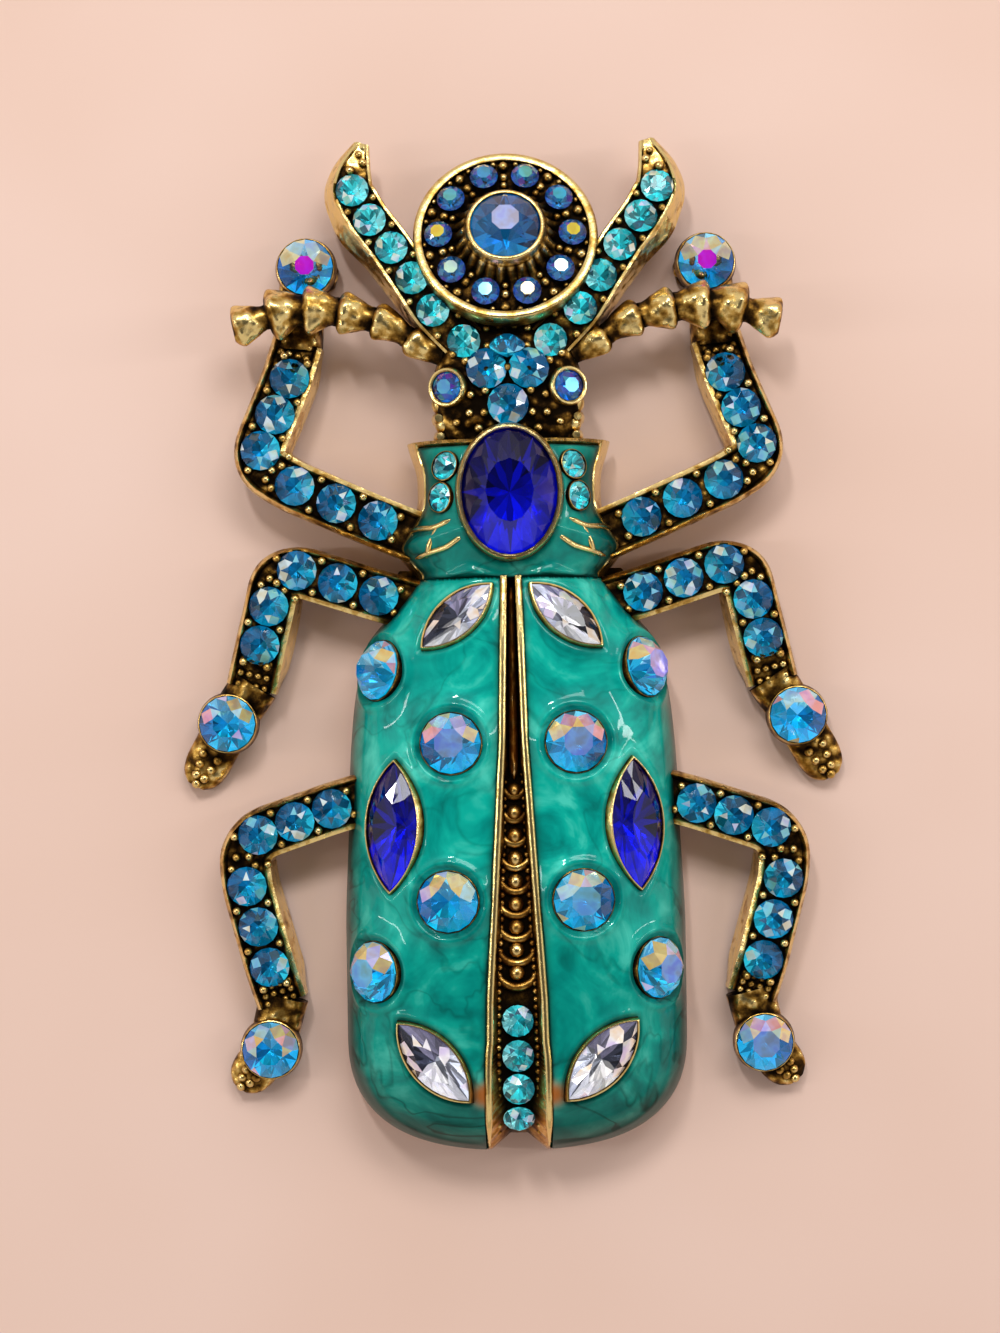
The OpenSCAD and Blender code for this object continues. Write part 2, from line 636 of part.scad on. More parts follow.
// Stones on the head: one at the nape, two on the brow, one on the steep front, and the eyes
nape_y = neck_y + 0.285 * head_l;
brow_y = neck_y + 0.585 * head_l;
brow_x = horn_stone_d / 2 + 0.34;
front_y = neck_y + 0.725 * head_l;
front_rise = 0.65;
front_up = unit([0, 1, 0.63]);
post_d = 0.9;
eye_y = neck_y + 0.44 * head_l;
eye_x = brow_x + horn_stone_d / 2 + collet_wall + eye_d / 2 + 0.04;
eye_drop = 0.75;
eye_up = unit([0.42, 0, 1]);
module at_eye() {
    stand([eye_x, eye_y, head_z - eye_drop], eye_up) children();
}
// Short post behind the steep stone
module front_post() {
    translate([0, front_y - post_d / 2, head_z - head_t / 2])
        cylinder(h = head_t / 2 + front_rise - clear, d = post_d, $fn = 8);
}
module head_stones() {
    both_sides() translate([brow_x, brow_y, head_z + clear]) stone(horn_stone_d, horn_stone_d);
    translate([0, nape_y, head_z + clear]) stone(nape_stone_d, nape_stone_d);
    stand([0, front_y, head_z + front_rise], front_up) stone(horn_stone_d, horn_stone_d);
}

// Disc
module on_disc() {
    translate([0, disc_y, disc_z]) rotate([-disc_tilt, 0, 0]) children();
}
function disc_face(r) = disc_dome * (1 - r / (disc_d / 2 - disc_rim));
disc_cup_r = disc_stone_d / 2 + collet_wall;
module disc() {
    inner = disc_d / 2 - disc_rim;
    on_disc() {
        rotate_extrude($fn = 24) polygon([
            [0, -disc_t], [disc_d / 2 - disc_edge, -disc_t], [disc_d / 2, -disc_t + disc_edge],
            [disc_d / 2, disc_rim_h], [inner, disc_rim_h], [inner, 0],
            [disc_cup_r, disc_face(disc_cup_r)], [0, disc_face(disc_cup_r)]]);
        cylinder(h = disc_cup_h, r1 = disc_cup_r + collet_wall, r2 = disc_cup_r, $fn = 16);
    }
}
module disc_socket() {
    on_disc() socket(disc_stone_d, disc_stone_d, big_n, false, disc_cup_h);
}

// Antennae: parts like small cups, each widest at its outer end
antenna_x = 0.43 * head_w;
antenna_y = head_y - antenna_overlap;
antenna_drop = 0.3;
function antenna_at(s) = [
    antenna_x + antenna_l * s,
    antenna_y + antenna_l * lookup(s, antenna_rows),
    antenna_z + (1 - s) * antenna_drop];
module antenna() {
    parts = len(antenna_sizes);
    rings = [for (k = [0 : parts - 1]) each
        [[k / parts, antenna_neck * antenna_sizes[k]], [(k + antenna_cup) / parts, antenna_sizes[k]]]];
    loft([for (ring = rings)
        let (c = antenna_at(ring[0]), t = unit(antenna_at(ring[0] + 0.02) - antenna_at(ring[0] - 0.02)),
            side = unit([-t[1], t[0], 0]), r = ring[1] * antenna_d / 2)
        [for (a = [0 : 60 : 300]) c + side * r * cos(a) + [0, 0, antenna_flat * r * sin(a)]]]);
}

// Beads along the groove
bead_first = waist_y - 0.366 * wing_l;
bead_last = waist_y - 0.71 * wing_l;
module groove_beads() {
    for (k = [0 : floor((bead_first - bead_last) / bead_pitch)]) {
        y = bead_first - k * bead_pitch;
        translate([0, y, back_z(0, y) - groove_depth]) sphere(d = min(bead_d, 2 * groove_half(y)), $fn = 6);
    }
}

// Stones at the tail end of the groove
tail_first = waist_y - 0.758 * wing_l;
tail_last = waist_y - 0.937 * wing_l;
module tail_stones() {
    gaps = max(1, min(3, floor((tail_first - tail_last) / (tail_stone_d + row_space))));
    for (k = [0 : gaps]) {
        y = mix(tail_first, tail_last, k / gaps);
        up = back_normal(0, y);
        stand([0, y, back_z(0, y)] - (groove_depth - clear - groove_seat) * up, up)
            stone(tail_stone_d, tail_stone_d);
    }
}

// The cast metal
module casting() {
    color("darkgoldenrod") difference() {
        union() {
            body_shell();
            head();
            front_post();
            disc();
            groove_beads();
            at_oval() collet(oval_l, oval_w, big_n, false, 0, high_collet_rise);
            both_sides() {
                for (i = [0 : 2]) leg(i);
                horn();
                antenna();
                for (i = [0 : 3]) at_spot(i) collet(star_d, star_d, star_n, false);
                for (i = [0 : 2]) at_leaf(i) collet(leaf_sizes[i][0], leaf_sizes[i][1], star_n, true);
                for (k = [0, 1]) at_thorax_stone(k) thorax_collet();
                at_eye() collet(eye_d, eye_d, row_n, false, 0, high_collet_rise);
            }
        }
        hollow();
        disc_socket();
        at_oval() socket(oval_l, oval_w, big_n, false, high_collet_rise);
        both_sides() {
            for (i = [0 : 2]) at_foot(i) socket(star_d, star_d, star_n, false, foot_collet_rise);
            for (i = [0 : 3]) at_spot(i) socket(star_d, star_d, star_n, false);
            for (i = [0 : 2]) at_leaf(i) socket(leaf_sizes[i][0], leaf_sizes[i][1], star_n, true);
            for (k = [0, 1]) at_thorax_stone(k) socket(thorax_stone_d, thorax_stone_d, row_n, false);
            at_eye() socket(eye_d, eye_d, row_n, false, high_collet_rise);
            along_horn() horn_stone_room();
        }
    }
}

// The enamel
module wing_enamel(s) {
    color("teal") on_side(s) difference() {
        enamel() wing_region(clear);
        for (i = [0 : 3]) at_spot(i) collet(star_d, star_d, star_n, false, clear, 2);
        for (i = [0 : 2]) at_leaf(i) collet(leaf_sizes[i][0], leaf_sizes[i][1], star_n, true, clear, 2);
        for (i = [1, 2]) leg_trough(i, clear, 0, 2);
    }
}
module thorax_enamel() {
    color("teal") difference() {
        enamel() thorax_region(clear);
        at_oval() collet(oval_l, oval_w, big_n, false, clear, 2);
        both_sides() {
            for (k = [0, 1]) at_thorax_stone(k) thorax_collet(clear, 2);
            leg_trough(0, clear, 0, 2);
        }
    }
}

// The pin: hinge block, stem and catch
pin_z = 0.1;
module pin() {
    block_h = edge_z - clear - pin_z;
    color("silver") translate([0, 0, pin_z]) {
        for (y = [hinge_y, catch_y]) translate([-block_w / 2, y - block_l / 2, 0])
            cube([block_w, block_l, block_h]);
        translate([0, hinge_y, block_h / 2]) rotate([90, 0, 0])
            cylinder(h = hinge_y - catch_y, d = stem_d, $fn = 24);
    }
}

// The stones
module set_stone(l, w, n, leaf, rise = collet_rise) {
    translate([0, 0, rise - seat(w) + clear]) stone(l, w, n, leaf);
}
module oval_stone() {
    color("mediumblue") at_oval() set_stone(oval_l, oval_w, big_n, false, high_collet_rise);
}
module disc_stone() {
    color("steelblue") on_disc() set_stone(disc_stone_d, disc_stone_d, big_n, false, disc_cup_h);
}
ring_seat = 0.1;
module disc_ring_stones() {
    color("royalblue") on_disc() for (k = [0 : ring_count - 1])
        rotate(360 / ring_count * (k + 0.5) + 90)
            translate([ring_r, 0, disc_face(ring_r) + clear + ring_seat])
                rotate([0, slope, 0]) stone(ring_stone_d, ring_stone_d);
}

casting();
for (s = SIDES) wing_enamel(s);
thorax_enamel();
pin();
oval_stone();
disc_stone();
disc_ring_stones();
color("deepskyblue") head_stones();
color("aquamarine") tail_stones();
for (s = SIDES) color("aquamarine") on_side(s) along_horn() stone(horn_stone_d, horn_stone_d);
for (s = SIDES) color("aquamarine") on_side(s) for (k = [0, 1]) at_thorax_stone(k)
        set_stone(thorax_stone_d, thorax_stone_d, row_n, false);
for (s = SIDES) color("lightskyblue") on_side(s) at_eye() set_stone(eye_d, eye_d, row_n, false, high_collet_rise);
for (i = [0 : 2], s = SIDES) color("deepskyblue") on_side(s) leg_stones(i);
for (i = [0 : 2], s = SIDES) color("lightskyblue") on_side(s) at_foot(i) set_stone(star_d, star_d, star_n, false, foot_collet_rise);
for (i = [0 : 2], s = SIDES) color("mediumblue") on_side(s) at_leaf(i) set_stone(leaf_sizes[i][0], leaf_sizes[i][1], star_n, true);
for (i = [0 : 3], s = SIDES) color("lightskyblue") on_side(s) at_spot(i) set_stone(star_d, star_d, star_n, false);
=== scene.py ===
import bpy
import bmesh
import mathutils
import functools
import math
import numpy as np
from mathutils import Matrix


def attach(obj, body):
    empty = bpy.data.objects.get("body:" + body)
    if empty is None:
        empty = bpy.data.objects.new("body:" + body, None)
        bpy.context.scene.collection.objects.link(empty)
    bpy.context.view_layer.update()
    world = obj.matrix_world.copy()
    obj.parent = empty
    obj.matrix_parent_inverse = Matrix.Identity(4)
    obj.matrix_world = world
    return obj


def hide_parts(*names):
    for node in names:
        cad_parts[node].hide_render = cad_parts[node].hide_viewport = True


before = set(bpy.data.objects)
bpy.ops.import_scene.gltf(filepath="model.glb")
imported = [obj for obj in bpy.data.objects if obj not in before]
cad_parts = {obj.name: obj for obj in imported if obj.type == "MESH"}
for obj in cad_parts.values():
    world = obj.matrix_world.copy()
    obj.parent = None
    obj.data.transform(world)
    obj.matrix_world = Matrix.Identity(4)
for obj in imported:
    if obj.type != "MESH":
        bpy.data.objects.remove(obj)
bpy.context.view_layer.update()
mm = 0.001
print("frame loaded:", len(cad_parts), "nodes")

# Small helpers.

def hexColour(code, alpha=1.0):
    # sRGB hex to linear: ((c + 0.055) / 1.055) ^ 2.4 above 0.04045, c / 12.92 below it
    c = np.array([int(code[i:i + 2], 16) for i in (1, 3, 5)]) / 255
    c = np.where(c > 0.04045, ((c + 0.055) / 1.055) ** 2.4, c / 12.92)
    return (float(c[0]), float(c[1]), float(c[2]), alpha)

def addNode(tree, kind, inputs=None, **settings):
    # a node with its settings; an input is a plain value, an output socket, or a node for its first output
    node = tree.nodes.new("ShaderNode" + kind)
    for key, value in settings.items():
        setattr(node, key, value)
    for key, value in (inputs or {}).items():
        if isinstance(value, (bpy.types.Node, bpy.types.NodeSocket)):
            tree.links.new(getattr(value, "outputs", [value])[0], node.inputs[key])
        else:
            node.inputs[key].default_value = value
    return node

def newMaterial(name, look, attribute=None):
    # look(add, place, own) adds nodes and gives the shader's inputs; place is the object's coordinates and
    # own the colour attribute
    material = bpy.data.materials.new(name)
    material.use_nodes = True
    material.node_tree.nodes.clear()
    add = functools.partial(addNode, material.node_tree)
    own = attribute and add("Attribute", attribute_name=attribute, attribute_type="GEOMETRY").outputs["Color"]
    inputs = look(add, add("TexCoord").outputs["Object"], own)
    add("OutputMaterial", {"Surface": add("BsdfPrincipled", inputs)})
    return material

def setRamp(node, stops):
    # the stops are (place, hex colour)
    ramp = node.color_ramp
    while len(ramp.elements) > 1:
        ramp.elements.remove(ramp.elements[-1])
    ramp.elements[0].position, ramp.elements[0].color = stops[0][0], hexColour(stops[0][1])
    for place, code in stops[1:]:
        ramp.elements.new(place).color = hexColour(code)
    return node.outputs["Color"]

def unit(v):
    return v / np.maximum(np.linalg.norm(v, axis=-1, keepdims=True), 1e-12)

def mix(a, b, t):
    return a + (b - a) * t

def smoothStep(a, b, x):
    # 3u^2 - 2u^3 of u, the share of the way from a to b
    u = np.clip((x - a) / (b - a), 0, 1)
    return u * u * (3 - 2 * u)

def throughKnots(x, xs, ys):
    # cubic through the knots: at a knot the slope is the mean of its neighbours' slopes
    xs, ys = np.asarray(xs, float), np.asarray(ys, float)
    slope = (ys[1:] - ys[:-1]) / (xs[1:] - xs[:-1])
    inside = np.where(slope[1:] * slope[:-1] > 0, (slope[1:] + slope[:-1]) / 2, 0)
    m = np.concatenate([slope[:1], inside, slope[-1:]])
    x = np.clip(x, xs[0], xs[-1])
    k = np.clip(np.searchsorted(xs, x, "right") - 1, 0, len(xs) - 2)
    h = xs[k + 1] - xs[k]
    u = (x - xs[k]) / h
    return (ys[k] * (1 + 2 * u) * (1 - u) ** 2 + h * m[k] * u * (1 - u) ** 2
            + ys[k + 1] * u * u * (3 - 2 * u) + h * m[k + 1] * u * u * (u - 1))

def columnAt(rows, k, x):
    # the rows' k-th column where their first one is x
    return throughKnots(x, rows[:, 0], rows[:, k])

def fullTurn(count):
    # evenly spaced angles once round
    return np.linspace(0, 2 * np.pi, count, endpoint=False)

def fade(count, over, least=0.0):
    # rises from least over the first steps, stays at 1, and falls again over the last steps
    k = np.arange(count)
    return np.minimum(1, np.minimum(k, k[::-1]) / over + least)

def closedEnds(rings):
    # the middle of the first ring goes before it and that of the last one after it
    middles = np.broadcast_to(rings.mean(1, keepdims=True), rings.shape)
    return np.concatenate([middles[:1], rings, middles[-1:]])

xAxis, yAxis, zAxis = np.eye(3)[:, None]

# A part of a piece is (points, quads, finish). Finish holds three shares for each point: on gold,
# dark patina, hammering, and bare warm metal; on enamel, painted shade (on the thorax with a darker tone) and bare
# metal.
def gridPart(points, wrapRows=False, wrapCols=False, finish=(0.0, 0.0, 0.0)):
    # quad (i, j) joins the grid's points (i, j), (i + 1, j), (i + 1, j + 1) and (i, j + 1)
    rows, cols = points.shape[:2]
    i, j = np.meshgrid(np.arange(rows - (not wrapRows)), np.arange(cols - (not wrapCols)), indexing="ij")
    ni, nj = (i + 1) % rows, (j + 1) % cols
    quads = np.stack([i * cols + j, ni * cols + j, ni * cols + nj, i * cols + nj], -1).reshape(-1, 4)
    return points.reshape(-1, 3), quads, np.broadcast_to(finish, (rows, cols, 3)).reshape(-1, 3)

def tube(spine, across, over, radius, around, finish):
    # rings round a line, spine + radius (cos a across + sin a over), with both ends closed
    turn = fullTurn(around)[:, None]
    rings = spine[:, None] + radius[:, None, None] * (np.cos(turn) * across[:, None] + np.sin(turn) * over[:, None])
    return gridPart(closedEnds(rings), wrapCols=True, finish=finish)

def mirroredPart(part):
    return part[0] * [-1, 1, 1], part[1][:, ::-1], part[2]

def mirrored(parts):
    return [mirroredPart(p) for p in parts]

def newMesh(name, points, faces, attribute, domain, colours, weld, smooth):
    # a mesh with a colour attribute; equal points are welded, and every closed shell faces outward
    mesh = bpy.data.meshes.new(name)
    mesh.from_pydata((points * mm).tolist(), [], faces)
    layer = mesh.attributes.new(attribute, "FLOAT_COLOR", domain)
    layer.data.foreach_set("color", np.c_[colours, np.ones(len(colours))].ravel())
    bm = bmesh.new()
    bm.from_mesh(mesh)
    if weld:
        bmesh.ops.remove_doubles(bm, verts=bm.verts, dist=weld * mm)
        bmesh.ops.dissolve_degenerate(bm, edges=bm.edges, dist=weld * mm / 4)
    bmesh.ops.recalc_face_normals(bm, faces=bm.faces)
    bm.to_mesh(mesh)
    bm.free()
    mesh.polygons.foreach_set("use_smooth", np.full(len(mesh.polygons), smooth))
    return mesh

def makePiece(name, parts, material, slotName, replaced, sharp):
    # joins the parts in one piece that rides on the root
    counts = np.cumsum([0] + [len(p[0]) for p in parts])
    quads = np.concatenate([p[1] + n for p, n in zip(parts, counts)]).tolist()
    points, finish = (np.concatenate([p[k] for p in parts]) for k in (0, 2))
    mesh = newMesh(name, points, quads, "finish", "POINT", finish, weld=0.004, smooth=True)
    mesh.set_sharp_from_angle(angle=math.radians(sharp))
    mesh.materials.append(material)
    place(name, mesh, slotName, replaced)

def place(name, mesh, slotName, replaced):
    piece = bpy.data.objects.new(name, mesh)
    bpy.context.scene.collection.objects.link(piece)
    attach(piece, "root")
    for node in replaced:
        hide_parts(node)

# Finishes.

def antiqueGold(add, place, finish):
    # Cast zinc alloy, gold plated, then darkened and rubbed: pale gold on the high places,
    # brown-black in the recesses, fine casting grain of about 0.15 mm and hammer dents of about 0.7 mm.
    share = add("SeparateColor", {"Color": finish})
    recess = add("AmbientOcclusion", {"Distance": 1.3 * mm}, samples=8)
    cloud = add("TexNoise", {"Vector": place, "Scale": 750.0, "Detail": 5.0, "Roughness": 0.7})
    grain = add("TexNoise", {"Vector": place, "Scale": 4200.0, "Detail": 3.0, "Roughness": 0.6})
    dents = add("TexVoronoi", {"Vector": place, "Scale": 1300.0}, feature="SMOOTH_F1")
    shut = add("Math", {0: 1.0, 1: recess.outputs["AO"]}, operation="SUBTRACT")
    dark = add("Math", {0: shut, 1: 0.95, 2: share.outputs["Red"]}, operation="MULTIPLY_ADD")
    speck = add("MapRange", {"Value": cloud, "From Min": 0.3, "From Max": 0.7, "To Min": -0.36, "To Max": 0.4})
    pit = add("MapRange", {"Value": dents, "From Min": 0.25, "From Max": 0.75, "To Min": -0.25, "To Max": 0.55})
    pitted = add("Math", {0: pit, 1: share.outputs["Green"], 2: speck}, operation="MULTIPLY_ADD")
    patina = add("Math", {0: dark, 1: pitted}, operation="ADD", use_clamp=True)
    ramp = add("ValToRGB", {"Fac": patina})
    gold = setRamp(ramp, [(0.0, "#efd690"), (0.2, "#cfa757"), (0.45, "#8e6829"), (0.7, "#442d12"), (1.0, "#150e07")])
    warm = add("Mix", {"Factor": share.outputs["Blue"], "A": gold, "B": hexColour("#b4641f")}, data_type="RGBA")
    rough = add("MapRange", {"Value": patina, "To Min": 0.24, "To Max": 0.62})
    dented = add("Math", {0: dents, 1: share.outputs["Green"]}, operation="MULTIPLY")
    deep = add("Bump", {"Height": dented, "Strength": 0.9, "Distance": 0.28 * mm}, invert=True)
    fine = add("Bump", {"Height": grain, "Strength": 0.35, "Distance": 0.05 * mm, "Normal": deep})
    return {"Base Color": warm.outputs["Result"], "Metallic": 1.0, "Roughness": rough, "Normal": fine}

def tealEnamel(add, place, finish):
    # Soft enamel under clear resin: pearly teal swirls a few mm across and a wet gloss, with painted
    # shade toward #01332c where the metal closes round it and where the finish's first share is high.
    share = add("SeparateColor", {"Color": finish})
    swirl = add("TexNoise", {"Vector": place, "Scale": 150.0, "Detail": 4.0, "Roughness": 0.55, "Distortion": 1.6})
    pearl = add("TexNoise", {"Vector": place, "Scale": 420.0, "Detail": 3.0, "Distortion": 0.8})
    # painted shade: ambient occlusion darkens the enamel near the metal and the stones
    recess = add("AmbientOcclusion", {"Distance": 1.6 * mm}, samples=8)
    mixed = add("Math", {0: pearl, 1: 0.35, 2: swirl}, operation="MULTIPLY_ADD")
    shut = add("Math", {0: 1.0, 1: recess.outputs["AO"]}, operation="SUBTRACT")
    # thin dark veins where a second noise crosses its middle value
    wander = add("TexNoise", {"Vector": place, "Scale": 130.0, "Detail": 3.0, "Distortion": 0.7})
    off = add("Math", {0: wander, 1: 0.47}, operation="SUBTRACT")
    far = add("Math", {0: off}, operation="ABSOLUTE")
    vein = add("MapRange", {"Value": far, "From Max": 0.02, "To Min": 0.24, "To Max": 0.0})
    veinsToneAndPaintedShade = add("Math", {0: share.outputs["Red"], 1: vein}, operation="ADD")
    # how dark the enamel is painted: shade from the occlusion and from the finish's first share, with the veins
    deep = add("Math", {0: shut, 1: 0.9, 2: veinsToneAndPaintedShade}, operation="MULTIPLY_ADD", use_clamp=True)
    wet = add("MapRange", {"Value": deep, "To Min": 0.75, "To Max": 0.25})
    ramp = add("ValToRGB", {"Fac": mixed})
    teal = setRamp(ramp, [(0.45, "#007a72"), (0.6, "#009a8e"), (0.72, "#0ab4a2"), (0.86, "#48d2be")])
    colour = add("Mix", {"Factor": deep, "A": teal, "B": hexColour("#01332c")}, data_type="RGBA")
    bare = add("Mix", {"Factor": share.outputs["Green"], "A": colour.outputs["Result"], "B": hexColour("#a05c1e")},
        data_type="RGBA")
    ripple = add("Bump", {"Height": swirl, "Strength": 0.25, "Distance": 0.25 * mm})
    return {"Base Color": bare.outputs["Result"], "Metallic": 0.1, "Roughness": 0.36, "Specular IOR Level": 0.06,
        "Coat Weight": wet, "Coat Roughness": 0.03, "Coat IOR": 1.38, "Normal": ripple}

def polishedSteel(add, place, own):
    # Nickel-plated steel wire and blocks, tumbled: grey with faint streaks of 0.1 mm.
    streak = add("TexNoise", {"Vector": place, "Scale": 3000.0, "Detail": 3.0})
    ramp = add("ValToRGB", {"Fac": streak})
    grey = setRamp(ramp, [(0.3, "#8d8a84"), (0.7, "#c4c1ba")])
    bump = add("Bump", {"Height": streak, "Strength": 0.2, "Distance": 0.03 * mm})
    return {"Base Color": grey, "Metallic": 1.0, "Roughness": 0.33, "Normal": bump}

def mirrorFoil(add, place, tint):
    # The silvered and lacquered back of a glass stone: a mirror tinted facet by facet with painted light and
    # shade. A stone gathers light from all round, so its back is given a little painted glow of its own tint.
    cloud = add("TexNoise", {"Vector": place, "Scale": 1500.0, "Detail": 2.0})
    rough = add("MapRange", {"Value": cloud, "To Min": 0.08, "To Max": 0.2})
    return {"Base Color": tint, "Metallic": 0.85, "Roughness": rough, "Emission Color": tint, "Emission Strength": 0.6}

def cutGlass(add, place, tint):
    # Machine-cut and fire-polished lead glass, IOR 1.55: clear and sharp, tinted facet by facet.
    return {"Base Color": tint, "Roughness": 0.02, "IOR": 1.55, "Transmission Weight": 1.0}

def coatedGlass(add, place, tint):
    # Cut glass under an iridescent coating: a pastel film colour, laid on facets chosen by side as painted highlights,
    # with a faint painted glow.
    film = add("TexNoise", {"Vector": place, "Scale": 700.0, "Detail": 2.0})
    ramp = add("ValToRGB", {"Fac": film})
    drift = setRamp(ramp, [(0.35, "#ffe6c8"), (0.5, "#ffffff"), (0.65, "#e6d8ff")])
    colour = add("Mix", {"Factor": 1.0, "A": tint, "B": drift}, data_type="RGBA", blend_type="MULTIPLY")
    return {"Base Color": colour.outputs["Result"], "Metallic": 0.35, "Roughness": 0.12, "IOR": 1.55,
        "Transmission Weight": 0.35, "Coat Weight": 1.0, "Coat Roughness": 0.03,
        "Emission Color": colour.outputs["Result"], "Emission Strength": 0.12}

gold = newMaterial("antique gold plate", antiqueGold, "finish")
enamel = newMaterial("pearly teal enamel", tealEnamel, "finish")
steel = newMaterial("nickel-plated steel", polishedSteel)
foil = newMaterial("foiled back of cut glass", mirrorFoil, "tint")
glass = newMaterial("cut glass", cutGlass, "tint")
coated = newMaterial("iridescent coated glass", coatedGlass, "tint")
print("finishes made")

def goldPiece(name, parts, sharp=45):
    makePiece(name, parts, gold, "antique_gold", ["casting"], sharp)

def goldPair(name, parts, sharp=45):
    # the parts as they are on the right, mirrored on the left
    goldPiece(name + "Right", parts, sharp)
    goldPiece(name + "Left", mirrored(parts), sharp)

# The stones, placed from the CAD's own.

# Size as a share of the CAD stone's, width as a share of its length, facets round, leaf outline, palette
stoneKinds = {
    "oval_stone": (1.0, 0.763, 12, False, "cobalt"),
    "disc_stone": (1.04, 1, 8, False, "peacock"),
    "disc_ring_stones": (0.92, 1, 8, False, "oilBlue"),
    "head_stones": (1.07, 1, 8, False, "turquoise"),
    "tail_stones": (1.07, 1, 8, False, "aqua"),
    "horn_stones": (1.0, 1, 8, False, "aqua"),
    "thorax_stones": (1.04, 1, 8, False, "aqua"),
    "eye_stone": (1.0, 1, 8, False, "midnight"),
    "leg_stones": (1.08, 1, 8, False, "turquoise"),
    "front_foot_stone": (0.93, 1, 8, False, "magenta"),
    "foot_stone": (0.94, 1, 8, False, "rainbow"),
    "front_leaf_stone": (0.98, 0.42, 12, True, "clear"),
    "middle_leaf_stone": (1.0, 0.45, 12, True, "cobalt"),
    "rear_leaf_stone": (0.99, 0.44, 12, True, "clear"),
    "wing_stone": (1.0, 1, 8, False, "rainbow"),
}

# The table's size beside the usual one
tableShares = {"front_foot_stone": 0.72, "disc_stone": 0.8, "head_stones": 0.85, "leg_stones": 0.85}

def kindOf(node):
    plain = node.replace("_left", "").replace("_right", "")
    return max((k for k in stoneKinds if plain.endswith(k)), key=len, default=None)

def looseStones(node):
    # the node's triangles, equal points joined, split where they don't touch
    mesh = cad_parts[node].data
    points = np.empty(len(mesh.vertices) * 3)
    mesh.vertices.foreach_get("co", points)
    corners = np.empty(len(mesh.loops), int)
    mesh.loops.foreach_get("vertex_index", corners)
    points, same = np.unique(np.round(points.reshape(-1, 3) / mm, 4), axis=0, return_inverse=True)
    faces = same.ravel()[corners].reshape(-1, 3)
    label = np.arange(len(points))
    while True:                                           # every point takes its triangle's lowest label
        low = label.copy()
        np.minimum.at(low, faces.ravel(), np.repeat(label[faces].min(1), 3))
        if (low == label).all():
            return points, faces, label
        label = low

def stoneFrames(node):
    # for each stone: middle of its girdle, the way of its length, the way across it, and the way up
    points, faces, label = looseStones(node)
    found = []
    for part in np.unique(label):
        f = faces[label[faces[:, 0]] == part]
        v = points[label == part]
        n = unit(np.cross(points[f[:, 1]] - points[f[:, 0]], points[f[:, 2]] - points[f[:, 0]]))
        up = n[np.argmax((n @ n.T > 0.9995).sum(1))]      # the table has the most triangles in one plane
        height = v @ up
        span = np.ptp(height)
        ring = v[(height > height.min() + 0.1 * span) & (height < height.max() - 0.1 * span)]
        middle = ring.mean(0)
        far = ring[np.argmax(np.linalg.norm(ring - middle, axis=1))] - middle
        grow, slim, _, leaf, _ = stoneKinds[kindOf(node)]
        if node == "head_stones" and abs(middle[0]) > 1:
            grow = grow * 1.14
        length = 2 * np.linalg.norm(far) * grow
        width = length * slim
        along = far if slim < 1 else np.array([1.0, 0, 0])
        along = unit(along - up * (along @ up))
        if along[0] < 0:
            along = -along
        found.append({"at": middle, "along": along, "across": np.cross(up, along), "up": up, "node": node,
            "kind": kindOf(node), "length": length, "width": width, "leaf": leaf})
    return found

def outlineAt(stone, angle, grow=0.0):
    # the stone's outline at an angle round it: an ellipse, or a leaf between two arcs whose x is
    # spread as sin of its own angle; grown sideways by a width
    l, w = stone["length"] / 2 + grow, stone["width"] / 2 + grow
    if not stone["leaf"]:
        return np.stack([l * np.cos(angle), w * np.sin(angle)], -1)
    radius = (l * l + w * w) / 2 / w
    angle = np.mod(angle, 2 * np.pi)
    side = np.where(angle > np.pi, -1, 1)
    turn = np.arcsin(l / radius) * (1 - 2 * (angle / np.pi - (angle > np.pi)))
    return np.stack([radius * np.sin(turn) * side, side * (radius * np.cos(turn) - radius + w)], -1)

def axesOf(stone):
    return np.stack([stone["along"], stone["across"], stone["up"]])

def inStone(stone, points):
    # a point's place in the stone's frame, and its distance out as a share of the way to the outline
    q = (points - stone["at"]) @ axesOf(stone).T
    x, y = q[..., 0], q[..., 1]
    l, w = stone["length"] / 2, stone["width"] / 2
    if not stone["leaf"]:
        return q, np.sqrt((x / l) ** 2 + (y / w) ** 2)
    radius = (l * l + w * w) / 2 / w
    return q, 1 + (np.sqrt(x * x + (np.abs(y) + radius - w) ** 2) - radius) / w

stones = [s for node in sorted(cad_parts) if kindOf(node) for s in stoneFrames(node)]
# Heights as shares of a stone's width, corners as shares of the way out; reach is in mm below the girdle
cut = {"crown": 0.25, "table": 0.5, "crownMid": 0.80, "girdle": 0.03, "pavilion": 0.38, "pavilionMid": 0.30,
    "fit": 0.995, "reach": 3.0}
print(len(stones), "stones found")

def carved(points, near, room=0.08):
    # lowers a surface under each stone to a cone just below the stone's own back
    for s in near:
        q, out = inStone(s, points)
        deepest = -cut["pavilion"] * s["width"] * (1 - out) - room - cut["girdle"] * s["width"]
        inside = (out < 1.0) & (q[..., 2] > -cut["reach"])
        drop = np.where(inside, np.maximum(0, q[..., 2] - deepest), 0)
        points = points - drop[..., None] * s["up"]
    return points

def carvedPart(part, near):
    return carved(part[0], near), part[1], part[2]

def stonesOf(*words):
    return [s for s in stones if any(w in s["node"] for w in words)]

def rightOnes(found):
    return [s for s in found if s["at"][0] > -0.01]       # on the right, or in the middle

# The body.

body = {"waist": 5.55, "neck": 16.15, "tail": -39.75, "cap": -30.35, "capLength": 9.4, "edge": 1.5,
    "edgeHeight": 0.7, "enamel": 0.55, "wall": 1.15, "arch": 3.2, "tailSquare": 2.6, "thoraxMargin": 0.75,
    "strip": 0.2, "grooveDepth": 1.3, "grooveRim": 0.45, "lineHeight": 0.2, "lineWidth": 0.13,
    "lineIn": 0.14, "lineDown": 0.34, "sunk": 0.42, "hollowShort": 1.7, "thinnest": 0.25}
